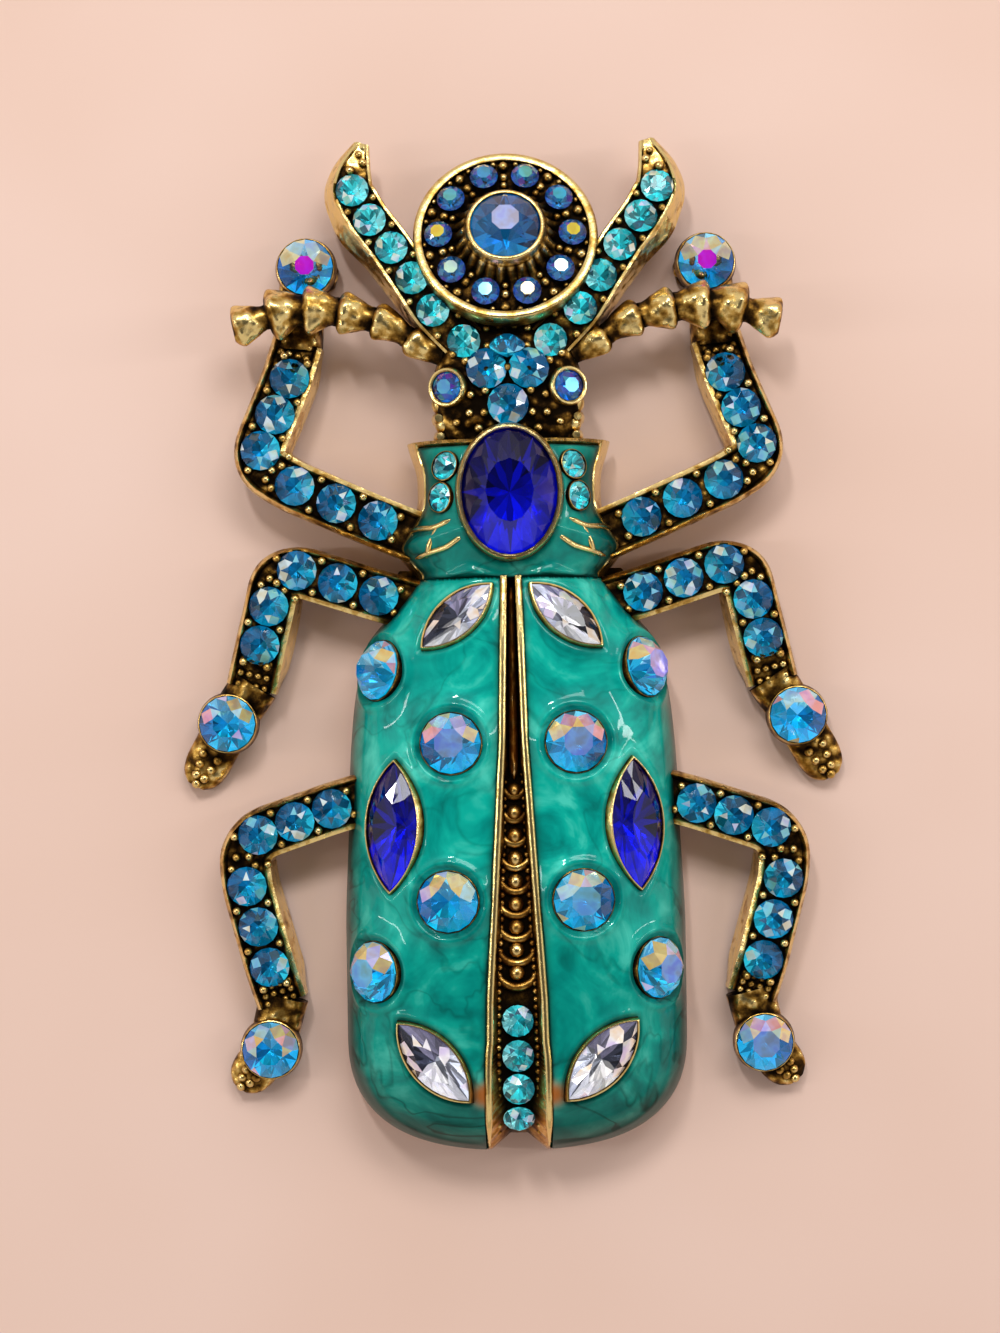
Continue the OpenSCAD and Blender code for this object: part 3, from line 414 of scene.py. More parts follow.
# Place along the length, half width, rise
bodyRows = np.array([
    (16.15, 8.05, 5.91), (15.30, 7.82, 6.48), (13.82, 7.36, 7.05), (11.91, 7.26, 7.45), (10.32, 7.6, 7.45),
    (8.94, 8.45, 7.29), (7.78, 9.1, 7.05), (6.50, 8.23, 6.64), (5.55, 7.53, 6.48), (3.93, 8.54, 6.97),
    (2.32, 9.89, 7.29), (0.34, 11.43, 7.61), (-2.89, 12.27, 7.86), (-7.73, 12.84, 8.1), (-14.91, 13.15, 8.1),
    (-22.45, 13.45, 8.1), (-30.35, 13.45, 8.1)])
# Place along the length, half the groove's width
grooveRows = np.array([(5.55, 0.34), (-7.13, 0.65), (-15.29, 1.13), (-27.07, 1.85), (-39.75, 2.1)])

def halfWidth(y):
    return throughKnots(-y, -bodyRows[:, 0], bodyRows[:, 1])

def riseAt(y):
    return throughKnots(-y, -bodyRows[:, 0], bodyRows[:, 2])

def grooveHalf(y):
    return np.interp(-y, -grooveRows[:, 0], grooveRows[:, 1])

def backHeight(x, y):
    # edge + rise (1 - out^3.2)^(1/2), where out is how far the point lies toward the outline
    b = body
    square, straight = b["tailSquare"], np.maximum(y, b["cap"])
    over = np.maximum(0, b["cap"] - y) / b["capLength"]
    out = ((np.abs(x) / halfWidth(straight)) ** square + over ** square) ** (1 / square)
    return b["edge"] + riseAt(straight) * np.sqrt(np.maximum(0, 1 - out ** b["arch"]))

def outlineRows(start, stop, straight, turn):
    # rows from start down to the tail's curve, then round it as a superellipse of power 2.6: place along
    # the length, half width, rise
    b = body
    y = np.linspace(start, max(stop, b["cap"]), straight)
    rows = np.stack([y, halfWidth(y), riseAt(y)], -1)
    if stop >= b["cap"]:
        return rows
    a = np.linspace(0, 1, turn + 1)[1:]
    a = np.radians(90) * (a - np.sin(2 * np.pi * a) / (2 * np.pi) * 0.6)
    curve = np.stack([b["cap"] - b["capLength"] * np.sin(a) ** (2 / b["tailSquare"]),
        halfWidth(b["cap"]) * np.cos(a).clip(0) ** (2 / b["tailSquare"]), 0 * a + riseAt(b["cap"])], -1)
    return np.concatenate([rows, curve])

def dome(rows, t, inward=0.0):
    # point at share t from the ridge to the outline of a row: x = t half width,
    # z = edge + rise (1 - t^3.2)^(1/2); inward moves it toward the inside along every axis
    b = body
    y, w, r = rows[:, None, 0], rows[:, None, 1], rows[:, None, 2]
    flat = np.maximum(y, b["cap"])
    w = np.where(w > 0.001, np.maximum(0, w - inward), 0)
    end = mix(flat, y + np.where(y < b["cap"], inward * (b["cap"] - y) / b["capLength"], 0), t)
    z = b["edge"] + (r - inward) * np.sqrt(np.maximum(0, 1 - t ** b["arch"]))
    return np.stack([t * w, end, z + 0 * t], -1)

def bodyShell():
    # outer skin of the dome, sunk under the enamel, closed by its edge and by the hollow inside
    b = body
    rows = outlineRows(b["neck"], b["tail"], 170, 60)
    t = 1 - (1 - np.linspace(0, 1, 64)) ** 1.8
    t = np.broadcast_to(t, (len(rows), 64))
    outer = dome(rows, t)
    x, y, z = outer[..., 0], outer[..., 1], outer[..., 2]
    groove = grooveHalf(y)
    strip, rim = b["waist"] - b["strip"], groove + b["grooveRim"]
    margin, skirt = halfWidth(y) - b["thoraxMargin"], b["edge"] + b["edgeHeight"]
    onWing = smoothStep(strip + 0.05, strip - 0.15, y) * smoothStep(rim - 0.05, rim + 0.1, x)
    onThorax = (smoothStep(strip - 0.05, strip + 0.1, y) * smoothStep(b["neck"] - 0.42, b["neck"] - 0.6, y)
        * smoothStep(margin + 0.1, margin - 0.1, x))
    covered = (onWing + onThorax) * smoothStep(skirt - 0.05, skirt + 0.2, z)
    # a thin raised line of metal frames the thorax's enamel
    bump = lambda away: np.exp(-(away / b["lineWidth"]) ** 2)
    line = bump(x - margin - b["lineIn"]) + bump(y - b["neck"] + b["lineDown"])
    outer[..., 2] += b["lineHeight"] * np.minimum(line, 1) * (y > b["waist"]) * (x < halfWidth(y) - 0.3)
    outer = mix(outer, dome(rows, t, b["sunk"]), covered[..., None])
    inGroove = smoothStep(groove + 0.02, groove - 0.13, x) * (y < b["waist"] - 0.1)
    outer = mix(outer, dome(rows, t, b["grooveDepth"]), inGroove[..., None])
    outer = carved(outer, rightOnes(stonesOf("wing_stone", "leaf_stone", "oval", "thorax", "tail")))
    hollow = rows.copy()
    hollow[:, 0] = np.minimum(hollow[:, 0], b["neck"] - b["hollowShort"])
    inner = dome(hollow, t, b["enamel"] + b["wall"])
    inner[..., 2] = np.minimum(inner[..., 2], outer[..., 2] - b["thinnest"])
    patina = 0.75 * inGroove + 0.2 * covered - 0.3 * (y > b["waist"])
    hammer = 0.35 * (1 - inGroove)
    warm = 0.5 * smoothStep(-31, -36, y) * (1 - inGroove)
    return [gridPart(outer, finish=np.stack([patina, hammer, warm], -1)), gridPart(inner, finish=(0.35, 0.6, 0.0)),
        gridPart(np.stack([outer[0], inner[0]])),
        gridPart(np.stack([outer[:, -1], inner[:, -1]]), finish=(0.1, 0.2, 0.0))]

# The webs across the hollow: half width, near end, far end
webs = {"rows": [(8.9, 2.55, 6.15), (12.6, -34.05, -30.45)], "low": 1.52, "high": 2.62, "soft": 0.15}

def webPart(x, y0, y1):
    # a bar with chamfered upright corners: a ring of eight points at the bottom and one at the top, closed
    soft = webs["soft"]
    ring = np.array([(x - soft, y1), (soft - x, y1), (-x, y1 - soft), (-x, y0 + soft), (soft - x, y0), (x - soft, y0),
        (x, y0 + soft), (x, y1 - soft)])
    rings = [np.c_[ring, np.full(8, z)] for z in (webs["low"], webs["high"])]
    return gridPart(closedEnds(np.stack(rings)), wrapCols=True, finish=(0.2, 0.3, 0.0))

shell = bodyShell()
goldPiece("bodyShell", shell + mirrored(shell) + [webPart(*row) for row in webs["rows"]], sharp=30)
print("body shell made")

wing = {"boss": 0.3, "bossAt": 0.62, "bossWidth": 0.34, "leafBoss": 0.16, "ridge": 0.16, "ridgeAt": 0.905,
    "ridgeWidth": 0.022, "sag": 0.16, "proud": 0.03, "deep": 0.5, "backRoom": 0.3, "thinnest": 0.05,
    "patchAt": (2.6, -34.4), "patchSize": (1.05, 1.0), "spikeAt": 1.8, "spikeWide": 0.42}

def bossed(points, near):
    # a rounded ring of enamel round each collet, height times exp(-(distance / width)^2), and a wider
    # and lower one beyond it
    for s in near:
        q, out = inStone(s, points)
        away = (out - 1) * s["width"] / 2
        high = wing["leafBoss"] if s["leaf"] or s["width"] > 5 else wing["boss"]
        ring = np.exp(-((away - wing["bossAt"]) / wing["bossWidth"]) ** 2) + 0.45 * np.exp(-((away - 1.1) / 0.7) ** 2)
        points = points + (np.where(np.abs(q[..., 2]) < 4, high * ring, 0))[..., None] * s["up"]
    return points

def waistFold(x, y):
    # a low rounded fold that waves over the waist: highest 3 mm out on each side, dipping at the middle
    crest = 5.0 + 0.9 * np.exp(-((np.abs(x) - 3.2) / 1.7) ** 2)
    return 0.32 * np.exp(-((y - crest) / 0.42) ** 2) * smoothStep(0.3, 1.5, np.abs(x))

def slab(top, bottom, finish):
    # a closed sheet between two grids; its underside and sides take a painted shade of 0.9
    pairs = [(top[0], bottom[0]), (top[-1], bottom[-1]), (top[:, 0], bottom[:, 0]), (top[:, -1], bottom[:, -1])]
    return [gridPart(top, finish=finish)] + [
        gridPart(p, finish=(0.9, 0, 0)) for p in [bottom] + [np.stack(pair) for pair in pairs]]

def enamelBack(rows, t, side, near, top):
    # the sheet's underside: the dome half a millimetre in, hollowed for the stones, always below the top
    bottom = dome(rows, t, wing["deep"])
    bottom[..., 0] *= side
    bottom = carved(bottom, near, wing["backRoom"])
    bottom[..., 2] = np.minimum(bottom[..., 2], top[..., 2] - wing["thinnest"])
    return bottom

def wingEnamel():
    # one wing case: from the groove's rim to just above the metal edge, crowned by the bosses
    b = body
    rows = outlineRows(b["waist"] - b["strip"] - 0.02, b["tail"], 190, 90)
    inner = grooveHalf(np.maximum(rows[:, 0], b["tail"])) + b["grooveRim"]
    tEdge = (1 - ((b["edgeHeight"] + 0.05) / rows[:, 2]) ** 2) ** (1 / b["arch"])
    keep = rows[:, 1] * tEdge > inner + 0.05
    rows, inner, tEdge = rows[keep], inner[keep], tEdge[keep]
    share = np.linspace(0, 1, 96)
    share = share + 0.35 * np.sin(2 * np.pi * share) / (2 * np.pi)
    t = mix((inner / rows[:, 1])[:, None], tEdge[:, None], share)
    top = dome(rows, t, -wing["proud"])
    rim = wing["ridge"] * np.exp(-((t - wing["ridgeAt"]) / wing["ridgeWidth"]) ** 2)
    border = np.minimum(np.minimum(share, 1 - share)[None] * 12, 1)
    ends = np.minimum(1, np.arange(len(rows)) / 3)[:, None]
    top[..., 2] += (rim + waistFold(top[..., 0], top[..., 1])) * ends - wing["sag"] * (
        1 - np.minimum(border, ends)) ** 2
    near = rightOnes(stonesOf("wing_stone", "leaf_stone"))
    top = carved(bossed(top, near), near)
    # painted shade: darker near the sheet's borders, toward its outer edge and toward the tail
    tailward = 0.3 * smoothStep(-12, -30, top[..., 1]) + 0.45 * smoothStep(-31, -38.5, top[..., 1])
    toneAndPaintedShade = np.clip(0.5 * (1 - border) ** 2 + 0.6 * smoothStep(0.82, 1.0, t) + tailward, 0, 0.95)
    # amber patch where the enamel ran thin between the rear leaf and the groove
    x, y = top[..., 0], top[..., 1]
    (px, py), (wide, long) = wing["patchAt"], wing["patchSize"]
    spike = np.exp(-((x - wing["spikeAt"]) / wing["spikeWide"]) ** 4)
    spike *= smoothStep(-30.2, -32.6, y) * smoothStep(-36, -35, y)
    thin = np.maximum(np.exp(-(((x - px) / wide) ** 2 + ((y - py) / long) ** 2) ** 2), spike)
    return slab(top, enamelBack(rows, t, 1, near, top), np.stack([toneAndPaintedShade * (1 - thin), thin, 0 * toneAndPaintedShade], -1))

def thoraxEnamel():
    # the dome between the neck and the waist, from margin to margin, with two folds and the waist's fold
    b, count = body, 90
    y = np.linspace(b["neck"] - 0.5, b["waist"] - b["strip"] + 0.02, count)
    rows = np.stack([y, halfWidth(y), riseAt(y)], -1)
    low = (1 - (b["edgeHeight"] / rows[:, 2]) ** 2) ** (1 / b["arch"])
    tEdge = np.minimum((rows[:, 1] - b["thoraxMargin"]) / rows[:, 1], low)
    share = np.linspace(-1, 1, 131)
    t = np.abs(share) * tEdge[:, None]
    top = dome(rows, t, -wing["proud"])
    top[..., 0] *= np.sign(share)
    border = np.minimum((1 - np.abs(share))[None] * 14, fade(count, 3)[:, None])
    # two soft folds under the oval stone
    x = np.abs(top[..., 0])
    fold = np.exp(-((top[..., 1] - (9.2 - 0.22 * (x - 3.5))) / 0.5) ** 2) * smoothStep(1.5, 3.5, x) * 0.3
    top[..., 2] += (fold + waistFold(x, top[..., 1])) * border - 0.14 * (1 - border) ** 2
    near = stonesOf("oval_stone", "thorax_stones")
    top = carved(bossed(top, [s for s in near if s["width"] > 5]), near)
    # a darker tone all over, and painted shade near the borders and toward both sides
    toneAndPaintedShade = np.clip(0.3 + 0.5 * (1 - border) ** 2 + 0.5 * smoothStep(0.7, 1.0, np.abs(share)), 0, 0.95)
    back = enamelBack(rows, t, np.sign(share), near, top)
    return slab(top, back, np.stack([toneAndPaintedShade, 0 * toneAndPaintedShade, 0 * toneAndPaintedShade], -1))

def enamelPiece(name, parts, node):
    makePiece(name, parts, enamel, "teal_enamel", [node], sharp=60)

rightWing = wingEnamel()
enamelPiece("wingEnamelRight", rightWing, "wing_enamel_right")
enamelPiece("wingEnamelLeft", mirrored(rightWing), "wing_enamel_left")
enamelPiece("thoraxEnamel", thoraxEnamel(), "thorax_enamel")
print("enamel made")

# Profiles carried along outlines and paths.

def ringed(stone, profile, around, finish):
    # a closed profile of (grow, height) points carried round the stone's outline
    angle = fullTurn(around)
    local = np.stack([np.c_[outlineAt(stone, angle, grow), np.full(around, high)] for grow, high in profile], 1)
    return gridPart(stone["at"] + local @ axesOf(stone), wrapRows=True, wrapCols=True, finish=finish)

def bezel(stone, foot, wall, lip, around, dull):
    # inner wall, rolled lip round the stone's edge, outer wall and flared foot, as (grow, height) points
    profile = [
        (-0.1, -0.8), (-0.02, lip - 0.3), (0.0, lip - 0.03), (wall * 0.3, lip + 0.05), (wall * 0.7, lip + 0.03),
        (wall, lip - 0.12), (wall + 0.03, lip - 0.4), (wall + 0.14, -foot), (wall + 0.1, -foot - 0.5),
        (-0.1, -foot - 0.5)]
    dark = np.array([0.9, 0.8, 0.2, 0.0, 0.0, 0.1, 0.3, 0.55, 0.8, 0.9]) + dull
    return ringed(stone, profile, around, np.stack([dark, 0 * dark + 0.1, 0 * dark], -1))

def path(points, step=0.25, window=2.0):
    # evenly spaced points on the straight runs, corners rounded by a running mean
    points = np.asarray(points, float)
    length = np.r_[0, np.cumsum(np.linalg.norm(np.diff(points[:, :2], axis=0), axis=1))]
    s = np.linspace(0, length[-1], int(length[-1] / step) + 1)
    line = np.stack([np.interp(s, length, points[:, k]) for k in range(points.shape[1])], -1)
    half = max(1, int(window / step / 2))
    for _ in range(2):
        padded = np.concatenate([2 * line[:1] - line[half:0:-1], line, 2 * line[-1:] - line[-2:-half - 2:-1]])
        total = np.cumsum(np.concatenate([padded[:1] * 0, padded]), axis=0)
        line = (total[2 * half + 1:] - total[:-2 * half - 1]) / (2 * half + 1)
    return line

def headingsOf(line):
    return unit(np.gradient(line[:, :2], axis=0))

def swept(line, outs, ups, finish):
    # a closed section of (out to the path's right, up) carried along a path in plan, both ends closed
    way = headingsOf(line)
    right = np.stack([way[:, 1], -way[:, 0]], -1)
    ring = closedEnds(np.concatenate([line[:, None, :2] + right[:, None] * outs[..., None], ups[..., None]], -1))
    return gridPart(ring, wrapCols=True, finish=np.broadcast_to(finish, ring.shape))

def sweptProfile(line, profile, side=1, bright=0.0):
    # carries (out, height, patina, hammering) along the path; out and height may change on the way
    columns = [np.concatenate([np.broadcast_to(p[k], (len(line), 1)) for p in profile], 1) for k in (0, 1)]
    finish = np.array([(dark, hammer, 0) for _, _, dark, hammer in profile])
    return swept(line, columns[0] * side, columns[1], finish - bright * xAxis)

def signedPower(x, power):
    return np.sign(x) * np.abs(x) ** power

def rightOf(way):
    # the way to the right of a heading in plan
    return np.array([way[1], -way[0], 0])

def beads(centres, radius, finish=(0.05, 0.1, 0.0), rings=6, around=9):
    # small balls: a grid of latitudes and longitudes at each centre
    centres = np.asarray(centres, float).reshape(-1, 3)
    radius = np.broadcast_to(radius, len(centres))
    lat = np.linspace(0, np.pi, rings + 1)[:, None]
    lon = fullTurn(around)
    ball = np.stack([np.sin(lat) * np.cos(lon), np.sin(lat) * np.sin(lon), np.cos(lat) + 0 * lon], -1)
    ballFaces = gridPart(ball, wrapCols=True)[1]
    each = (rings + 1) * around
    points = centres[:, None] + radius[:, None, None] * ball.reshape(1, -1, 3)
    quads = ballFaces[None] + (np.arange(len(centres)) * each)[:, None, None]
    return points.reshape(-1, 3), quads.reshape(-1, 4), np.broadcast_to(finish, (len(centres) * each, 3))

def betweenStones(row, apart, lift, most=99.0):
    # two grains' middles between each pair of neighbours in the row that are less than most apart
    found = []
    for a, b in zip(row, row[1:]):
        if np.linalg.norm(a["at"] - b["at"]) < most:
            across = rightOf(unit(b["at"] - a["at"]))
            found += [(a["at"] + b["at"]) / 2 + across * apart * k + [0, 0, lift] for k in (-1, 1)]
    return found

def grainRows(spots, high, sunk):
    # grains' middles across a path, for each (path, share of its length, places to the right)
    found = []
    for line, share, places in spots:
        i = int(share * (len(line) - 1))
        middle = line[i, :3] * [1, 1, high] - [0, 0, sunk]
        found += [middle + rightOf(headingsOf(line)[i]) * k for k in places]
    return found

# Settings of the stones.

# Foot's depth, wall, height of the lip over the girdle, points round, added patina
bezels = {
    "wing_stone": (0.75, 0.1, -0.22, 64, 0.35),
    "foot_stone": (1.3, 0.12, -0.22, 64, 0.1),
    "leaf_stone": (0.7, 0.24, 0.1, 96, -0.15),
    "oval_stone": (1.0, 0.36, 0.2, 96, -0.3),
    "thorax_stones": (0.55, 0.13, 0.03, 40, 0.2),
    "eye_stone": (1.0, 0.36, 0.14, 48, -0.2),
}
goldPiece("stoneSettings", [bezel(s, *size) for kind, size in bezels.items() for s in stonesOf(kind)], sharp=40)
print("settings made")

# The groove between the wing cases.

groove = {"ridgeStart": 4.6, "ridgeEnd": -10.2, "ridgeHalf": 0.34, "ridgeHigh": 1.9, "beadStart": -11.03,
    "beadPitch": 1.76, "beads": 9, "beadRadius": 0.62, "grainPitch": 0.62, "grainRadius": 0.26, "rimRadius": 0.16,
    "rimWide": 1.7, "rimHigh": 1.1}

def onGroove(x, y, lift):
    # points above the groove's floor
    return np.stack([x + 0 * y, y, backHeight(x + 0 * y, y) - body["grooveDepth"] + lift], -1)

def grooveRim():
    # a rim along the groove's right side, down over the tail, with an ellipse as its section
    b = body
    rows = outlineRows(b["waist"] - 0.05, b["tail"], 150, 60)
    x = grooveHalf(rows[:, 0]) + b["grooveRim"] / 2
    keep = rows[:, 1] > x + 0.02
    rows, x = rows[keep], x[keep]
    spine = dome(rows, (x / rows[:, 1])[:, None])[:, 0]
    out = unit(np.cross(unit(np.gradient(spine, axis=0)), xAxis))
    out = np.where(out[:, 2:] < 0, -out, out)
    radius = groove["rimRadius"] * np.minimum(1, np.arange(len(spine))[::-1] / 4 + 0.3)
    return tube(spine, xAxis * groove["rimWide"], out * groove["rimHigh"], radius, 10, (-0.2, 0.1, 0.0))

def grooveDetails():
    g = groove
    rim = grooveRim()
    # ridge: a tube along the floor of the upper part, wide as the groove allows and thin at both ends
    y = np.linspace(g["ridgeStart"], g["ridgeEnd"], 60)
    half = np.minimum(g["ridgeHalf"], grooveHalf(y) * 0.55) * fade(60, 3, 0.2)
    ridge = tube(onGroove(0, y, 0.1), xAxis, zAxis * g["ridgeHigh"], half, 12, (-0.15, 0.9, 0.35))
    parts = [rim, mirroredPart(rim), ridge]
    y = g["beadStart"] - np.arange(g["beads"]) * g["beadPitch"]
    centres = onGroove(0, y, 0.15)
    parts.append(beads(centres, np.minimum(g["beadRadius"], grooveHalf(y) * 0.62), finish=(0.0, 0.2, 0.15)))
    # fine grains down both sides of the groove's floor
    v = np.arange(-3.0, body["tail"] + 1.5, -g["grainPitch"])
    fine = onGroove(grooveHalf(v) * 0.78, v, 0.12)
    radius = np.tile(np.minimum(g["grainRadius"], grooveHalf(v) * 0.2), 2)
    parts.append(beads(np.concatenate([fine, fine * [-1, 1, 1]]), radius, finish=(0.1, 0.3, 0.2)))
    # crescent: half a turn of (cos a, 0.85 sin a) under each bead, as wide as the groove, thickest in the middle
    arc = np.radians(np.linspace(180, 360, 17))
    outward = np.stack([np.cos(arc), np.sin(arc), 0 * arc], -1)
    thick = 0.27 * np.sin(arc - np.pi) ** 0.5 + 0.08
    for centre, wide in zip(centres, grooveHalf(y) * 0.86):
        spine = centre + [0, 0.15, -0.05] + wide * outward * [1, 0.85, 1]
        parts.append(tube(spine, outward, zAxis, thick, 12, (0.15, 0.3, 0.1)))
    return parts

goldPiece("grooveTrim", grooveDetails(), sharp=50)

# Legs.

leg = {"half": 2.02, "rim": 0.42, "thick": 3.0, "trough": 0.42, "top": 5.0, "inset": 1.48, "step": 0.22, "ankle": 3.4,
    "beadRadius": 0.34, "beadsApart": 1.28, "beadLift": 0.02, "beadReach": 4.2, "past": 1.55, "pastApart": 0.95,
    "grainRadius": 0.33, "grainPlaces": (-1.05, -0.36, 0.36, 1.05), "grainSunk": 0.42, "tipRadius": 0.4,
    "tipHigh": 0.93}
# Root's place along the body, reach outward and reach forward, then the knots: shares of both reaches,
# height as a share of the top, flare of the outer wall
legRows = {
    "front": (8.62, 12.6, 21.8, [
        (0, 0, 1.04, 0), (.27, .065, 1.04, 0), (.785, .195, 1, .2), (.965, .26, .98, .3), (.995, .325, .96, .4),
        (.81, .585, .84, .4), (.74, .72, .70, .4), (.705, .99, .54, 0), (.50, .96, .28, 0)]),
    "middle": (3.38, 14.2, 9.6, [
        (0, 0, .96, 0), (.20, .085, .96, 0), (.65, .30, .96, 0), (.775, .245, .92, .2), (.81, .01, .88, .4),
        (.865, -.305, .80, .5), (.925, -.66, .66, .3), (1.055, -.945, .54, 0), (1.255, -1.46, .28, 0)]),
    "hind": (-11.66, 9.9, 19.8, [
        (0, 0, .96, 0), (.28, -.04, .96, 0), (.87, -.14, .92, .1), (.985, -.215, .88, .3), (.965, -.345, .84, .4),
        (.80, -.67, .72, .5), (.71, -.815, .62, .45), (.805, -1, .54, 0), (1.07, -1.165, .28, 0)]),
}

def legTray(name, line):
    # the trough for the stones, swept along the path; its profile runs over one wall and its rim, the bed,
    # the other rim and the flared wall
    g, h = leg, leg["half"]
    c, bed = h - g["rim"], h - g["rim"] - 0.25
    # the flare draws in over the last tenth, to meet the foot
    z, flare = line[:, 2:3], line[:, 3:4] * smoothStep(1.0, 0.88, np.linspace(0, 1, len(line)))[:, None]
    low = np.maximum(0.06, z - g["thick"])
    profile = [(h - 0.5, low, .5, .6), (h - 0.1, low + 0.2, .2, 1), (h + 0.02, (low + z) / 2, .1, 1),
        (h - 0.04, z - 0.5, 0, .9), (h - 0.22, z - 0.16, 0, .6), (c + 0.08, z, 0, .5), (c, z - 0.08, .1, .5),
        (c - 0.1, z - 0.25, .3, .6)] + [(out, z - g["trough"], .5, .9) for out in np.linspace(bed, -bed, 13)] + [
        (0.1 - c, z - 0.25, .3, .6), (-c, z - 0.08, .1, .5), (-c - 0.08, z, 0, .4), (0.2 - h, z - 0.12, 0, .4),
        (-h, z - 0.22, -.1, .4), (-h - 0.04 - flare * 0.6, (low + z) / 2, -.15, .5),
        (-h - flare * 0.98, low + 0.2, -.15, .5), (0.3 - h - flare, low, .4, .6)]
    tray = sweptProfile(line, profile, side=1 if name == "front" else -1)
    return carvedPart(tray, rightOnes(stonesOf(name + "_leg_stones")))

def legParts(name):
    g = leg
    rootY, out, forward, rows = legRows[name]
    rows = np.array(rows)
    knots = np.stack([halfWidth(rootY) - g["inset"] + rows[:, 0] * out, rootY + rows[:, 1] * forward,
        rows[:, 2] * g["top"], rows[:, 3]], -1)
    line = path(knots[:7], g["step"], 1.5)
    # foot: its section |x / wide|^2.67 + |z / high|^2.67 = 1 narrows from a block under the stone to a claw
    foot = path(np.concatenate([mix(knots[6:7], knots[7:8], -0.1), knots[6:9]])[:, :3], g["step"], 1.2)
    narrowing = throughKnots(np.linspace(0, 1, len(foot)), [0, 0.35, 0.6, 0.85, 0.95, 1],
        [0.97, 0.93, 0.9, 0.84, 0.64, 0.36])
    turn = fullTurn(20)
    claw = swept(foot, narrowing[:, None] * g["half"] * signedPower(np.cos(turn), 0.75),
        np.maximum(0.02, foot[:, 2:3] * (0.5 + 0.5 * signedPower(np.sin(turn), 0.75))), (0.35, 1.0, 0.0))
    claw = carvedPart(claw, rightOnes(stonesOf(name + "_foot_stone")))
    # grains between the stones on both rims, and past the ends of both straight rows
    root = knots[0, :2]
    row = sorted(rightOnes(stonesOf(name + "_leg_stones")), key=lambda s: np.linalg.norm(s["at"][:2] - root))
    centres = betweenStones(row, g["beadsApart"], g["beadLift"], g["beadReach"])
    for s in (row[0], row[2], row[3], row[-1]) if len(row) > 4 else row:
        way = headingsOf(line)[np.argmin(np.linalg.norm(line[:, :2] - s["at"][:2], axis=1))]
        past = s["at"] + np.append(way, 0) * (g["past"] if s is row[2] or s is row[-1] else -g["past"])
        centres += [past + rightOf(way) * g["pastApart"] * k for k in (-1, 1)]
    # rows of grains at the ankle, and on the claw
    ankle = line[-int(g["ankle"] / g["step"]):]
    start = 0.52 if name == "hind" else 0.34
    spots = [(ankle, share, g["grainPlaces"]) for share in np.linspace(start, 0.97, 3)]
    grains = grainRows(spots, 1, g["grainSunk"])
    spots = [(foot, 0.72, (-0.62, 0.62)), (foot, 0.82, (-0.5, 0.5)), (foot, 0.91, (-0.36, 0.36)), (foot, 0.99, (0,))]
    tips = grainRows(spots, g["tipHigh"], 0)
    return [legTray(name, line), claw, beads(centres, g["beadRadius"]),
        beads(grains, g["grainRadius"], finish=(0.1, 0.2, 0)), beads(tips, g["tipRadius"], finish=(0.0, 0.5, 0))]

for name in legRows:
    goldPair(name + "Leg", legParts(name))
print("legs made")

# Horns.

horn = {"half": 1.68, "rim": 0.3, "thick": 2.4, "root": 22.05, "tip": 39.75, "spread": 11.95, "top": 6.9, "sunk": 0.55,
    "beadsApart": 1.15, "beadLift": 0.05, "beadRadius": 0.3}
# Shares of the spread, of the way from root to tip, of the top's height, of the half width and of the
# thickness, then the flare of the outer wall
hornRows = np.array([
    (.10, 0, 1, 1, 1, 0), (.283, .10, 1, 1, 1, 0), (.483, .24, .97, 1, 1, .4), (.625, .395, .93, 1, 1, .6),
    (.76, .535, .88, 1, 1, .8), (.90, .66, .82, 1, 1, 1.15), (1, .785, .76, .98, 1, .8),
    (.985, .88, .68, .78, .6, .5), (.93, 1, .60, .32, .4, .2)])

def hornParts():
    # a trough for the stones, swept along the knots' path, and grains between the stones and at the tip
    g = horn
    knots = np.c_[hornRows[:, 0] * g["spread"], mix(g["root"], g["tip"], hornRows[:, 1]),
        hornRows[:, 2] * g["top"], hornRows[:, 3:]]
    line = path(knots, 0.2, 1.2)
    z, wide, thick, flare = (line[:, k:k + 1] for k in (2, 3, 4, 5))
    h, low = g["half"] * wide, z - g["thick"] * thick
    c = np.maximum(h / 2, h - g["rim"])
    # both rims sink where the root passes over the head
    rim = z - g["sunk"] * smoothStep(0.36, 0.2, np.linspace(0, 1, len(line)))[:, None]
    floor = z - 0.5 * np.where(thick < 1, thick / 2, 1)
    profile = [
        (0.3 - h, low, .5, .5), (-h, low + 0.2, .2, .5), (-h, rim - 0.2, .1, .4), (0.08 - h, rim - 0.04, 0, .3),
        (-c - 0.05, rim, 0, .3), (0.04 - c, rim - 0.08, .2, .4)] + [
        ((c - 0.12) * k, floor, .55, .9) for k in np.linspace(-1, 1, 11)] + [
        (c - 0.04, rim - 0.08, .2, .4), (c + 0.05, rim, 0, .3), (h - 0.04, rim - 0.08, -.1, .4),
        (h + flare * 0.15, rim - 0.45, -.3, .6), (h + flare * 0.6, (z + low) / 2, -.3, .7),
        (h + flare, low + 0.2, -.2, .8), (h + flare - 0.3, low, .4, .6)]
    # the bed turns from dark to bare gold toward the tip
    bright = 0.7 * smoothStep(0.84, 0.92, np.linspace(0, 1, len(line) + 2))[:, None, None]
    near = rightOnes(stonesOf("horn_stones"))
    row = sorted(near, key=lambda s: s["at"][1])
    grains = mix(row[-1]["at"], knots[-1, :3], np.array([[0.42], [0.58], [0.76]])) + [
        [0.5, 0, 0.1], [-0.35, 0, 0.1], [0.1, 0, 0.1]]
    return [carvedPart(sweptProfile(line, profile, bright=bright), near),
        beads(betweenStones(row, g["beadsApart"], g["beadLift"]), g["beadRadius"]),
        beads(grains, np.array([0.38, 0.34, 0.3]), finish=(0.05, 0.5, 0))]

goldPair("horn", hornParts())
print("horns made")

# Head.

head = {"neck": 16.15, "length": 9.3, "half": 5.9, "top": 6.9, "low": 2.3}
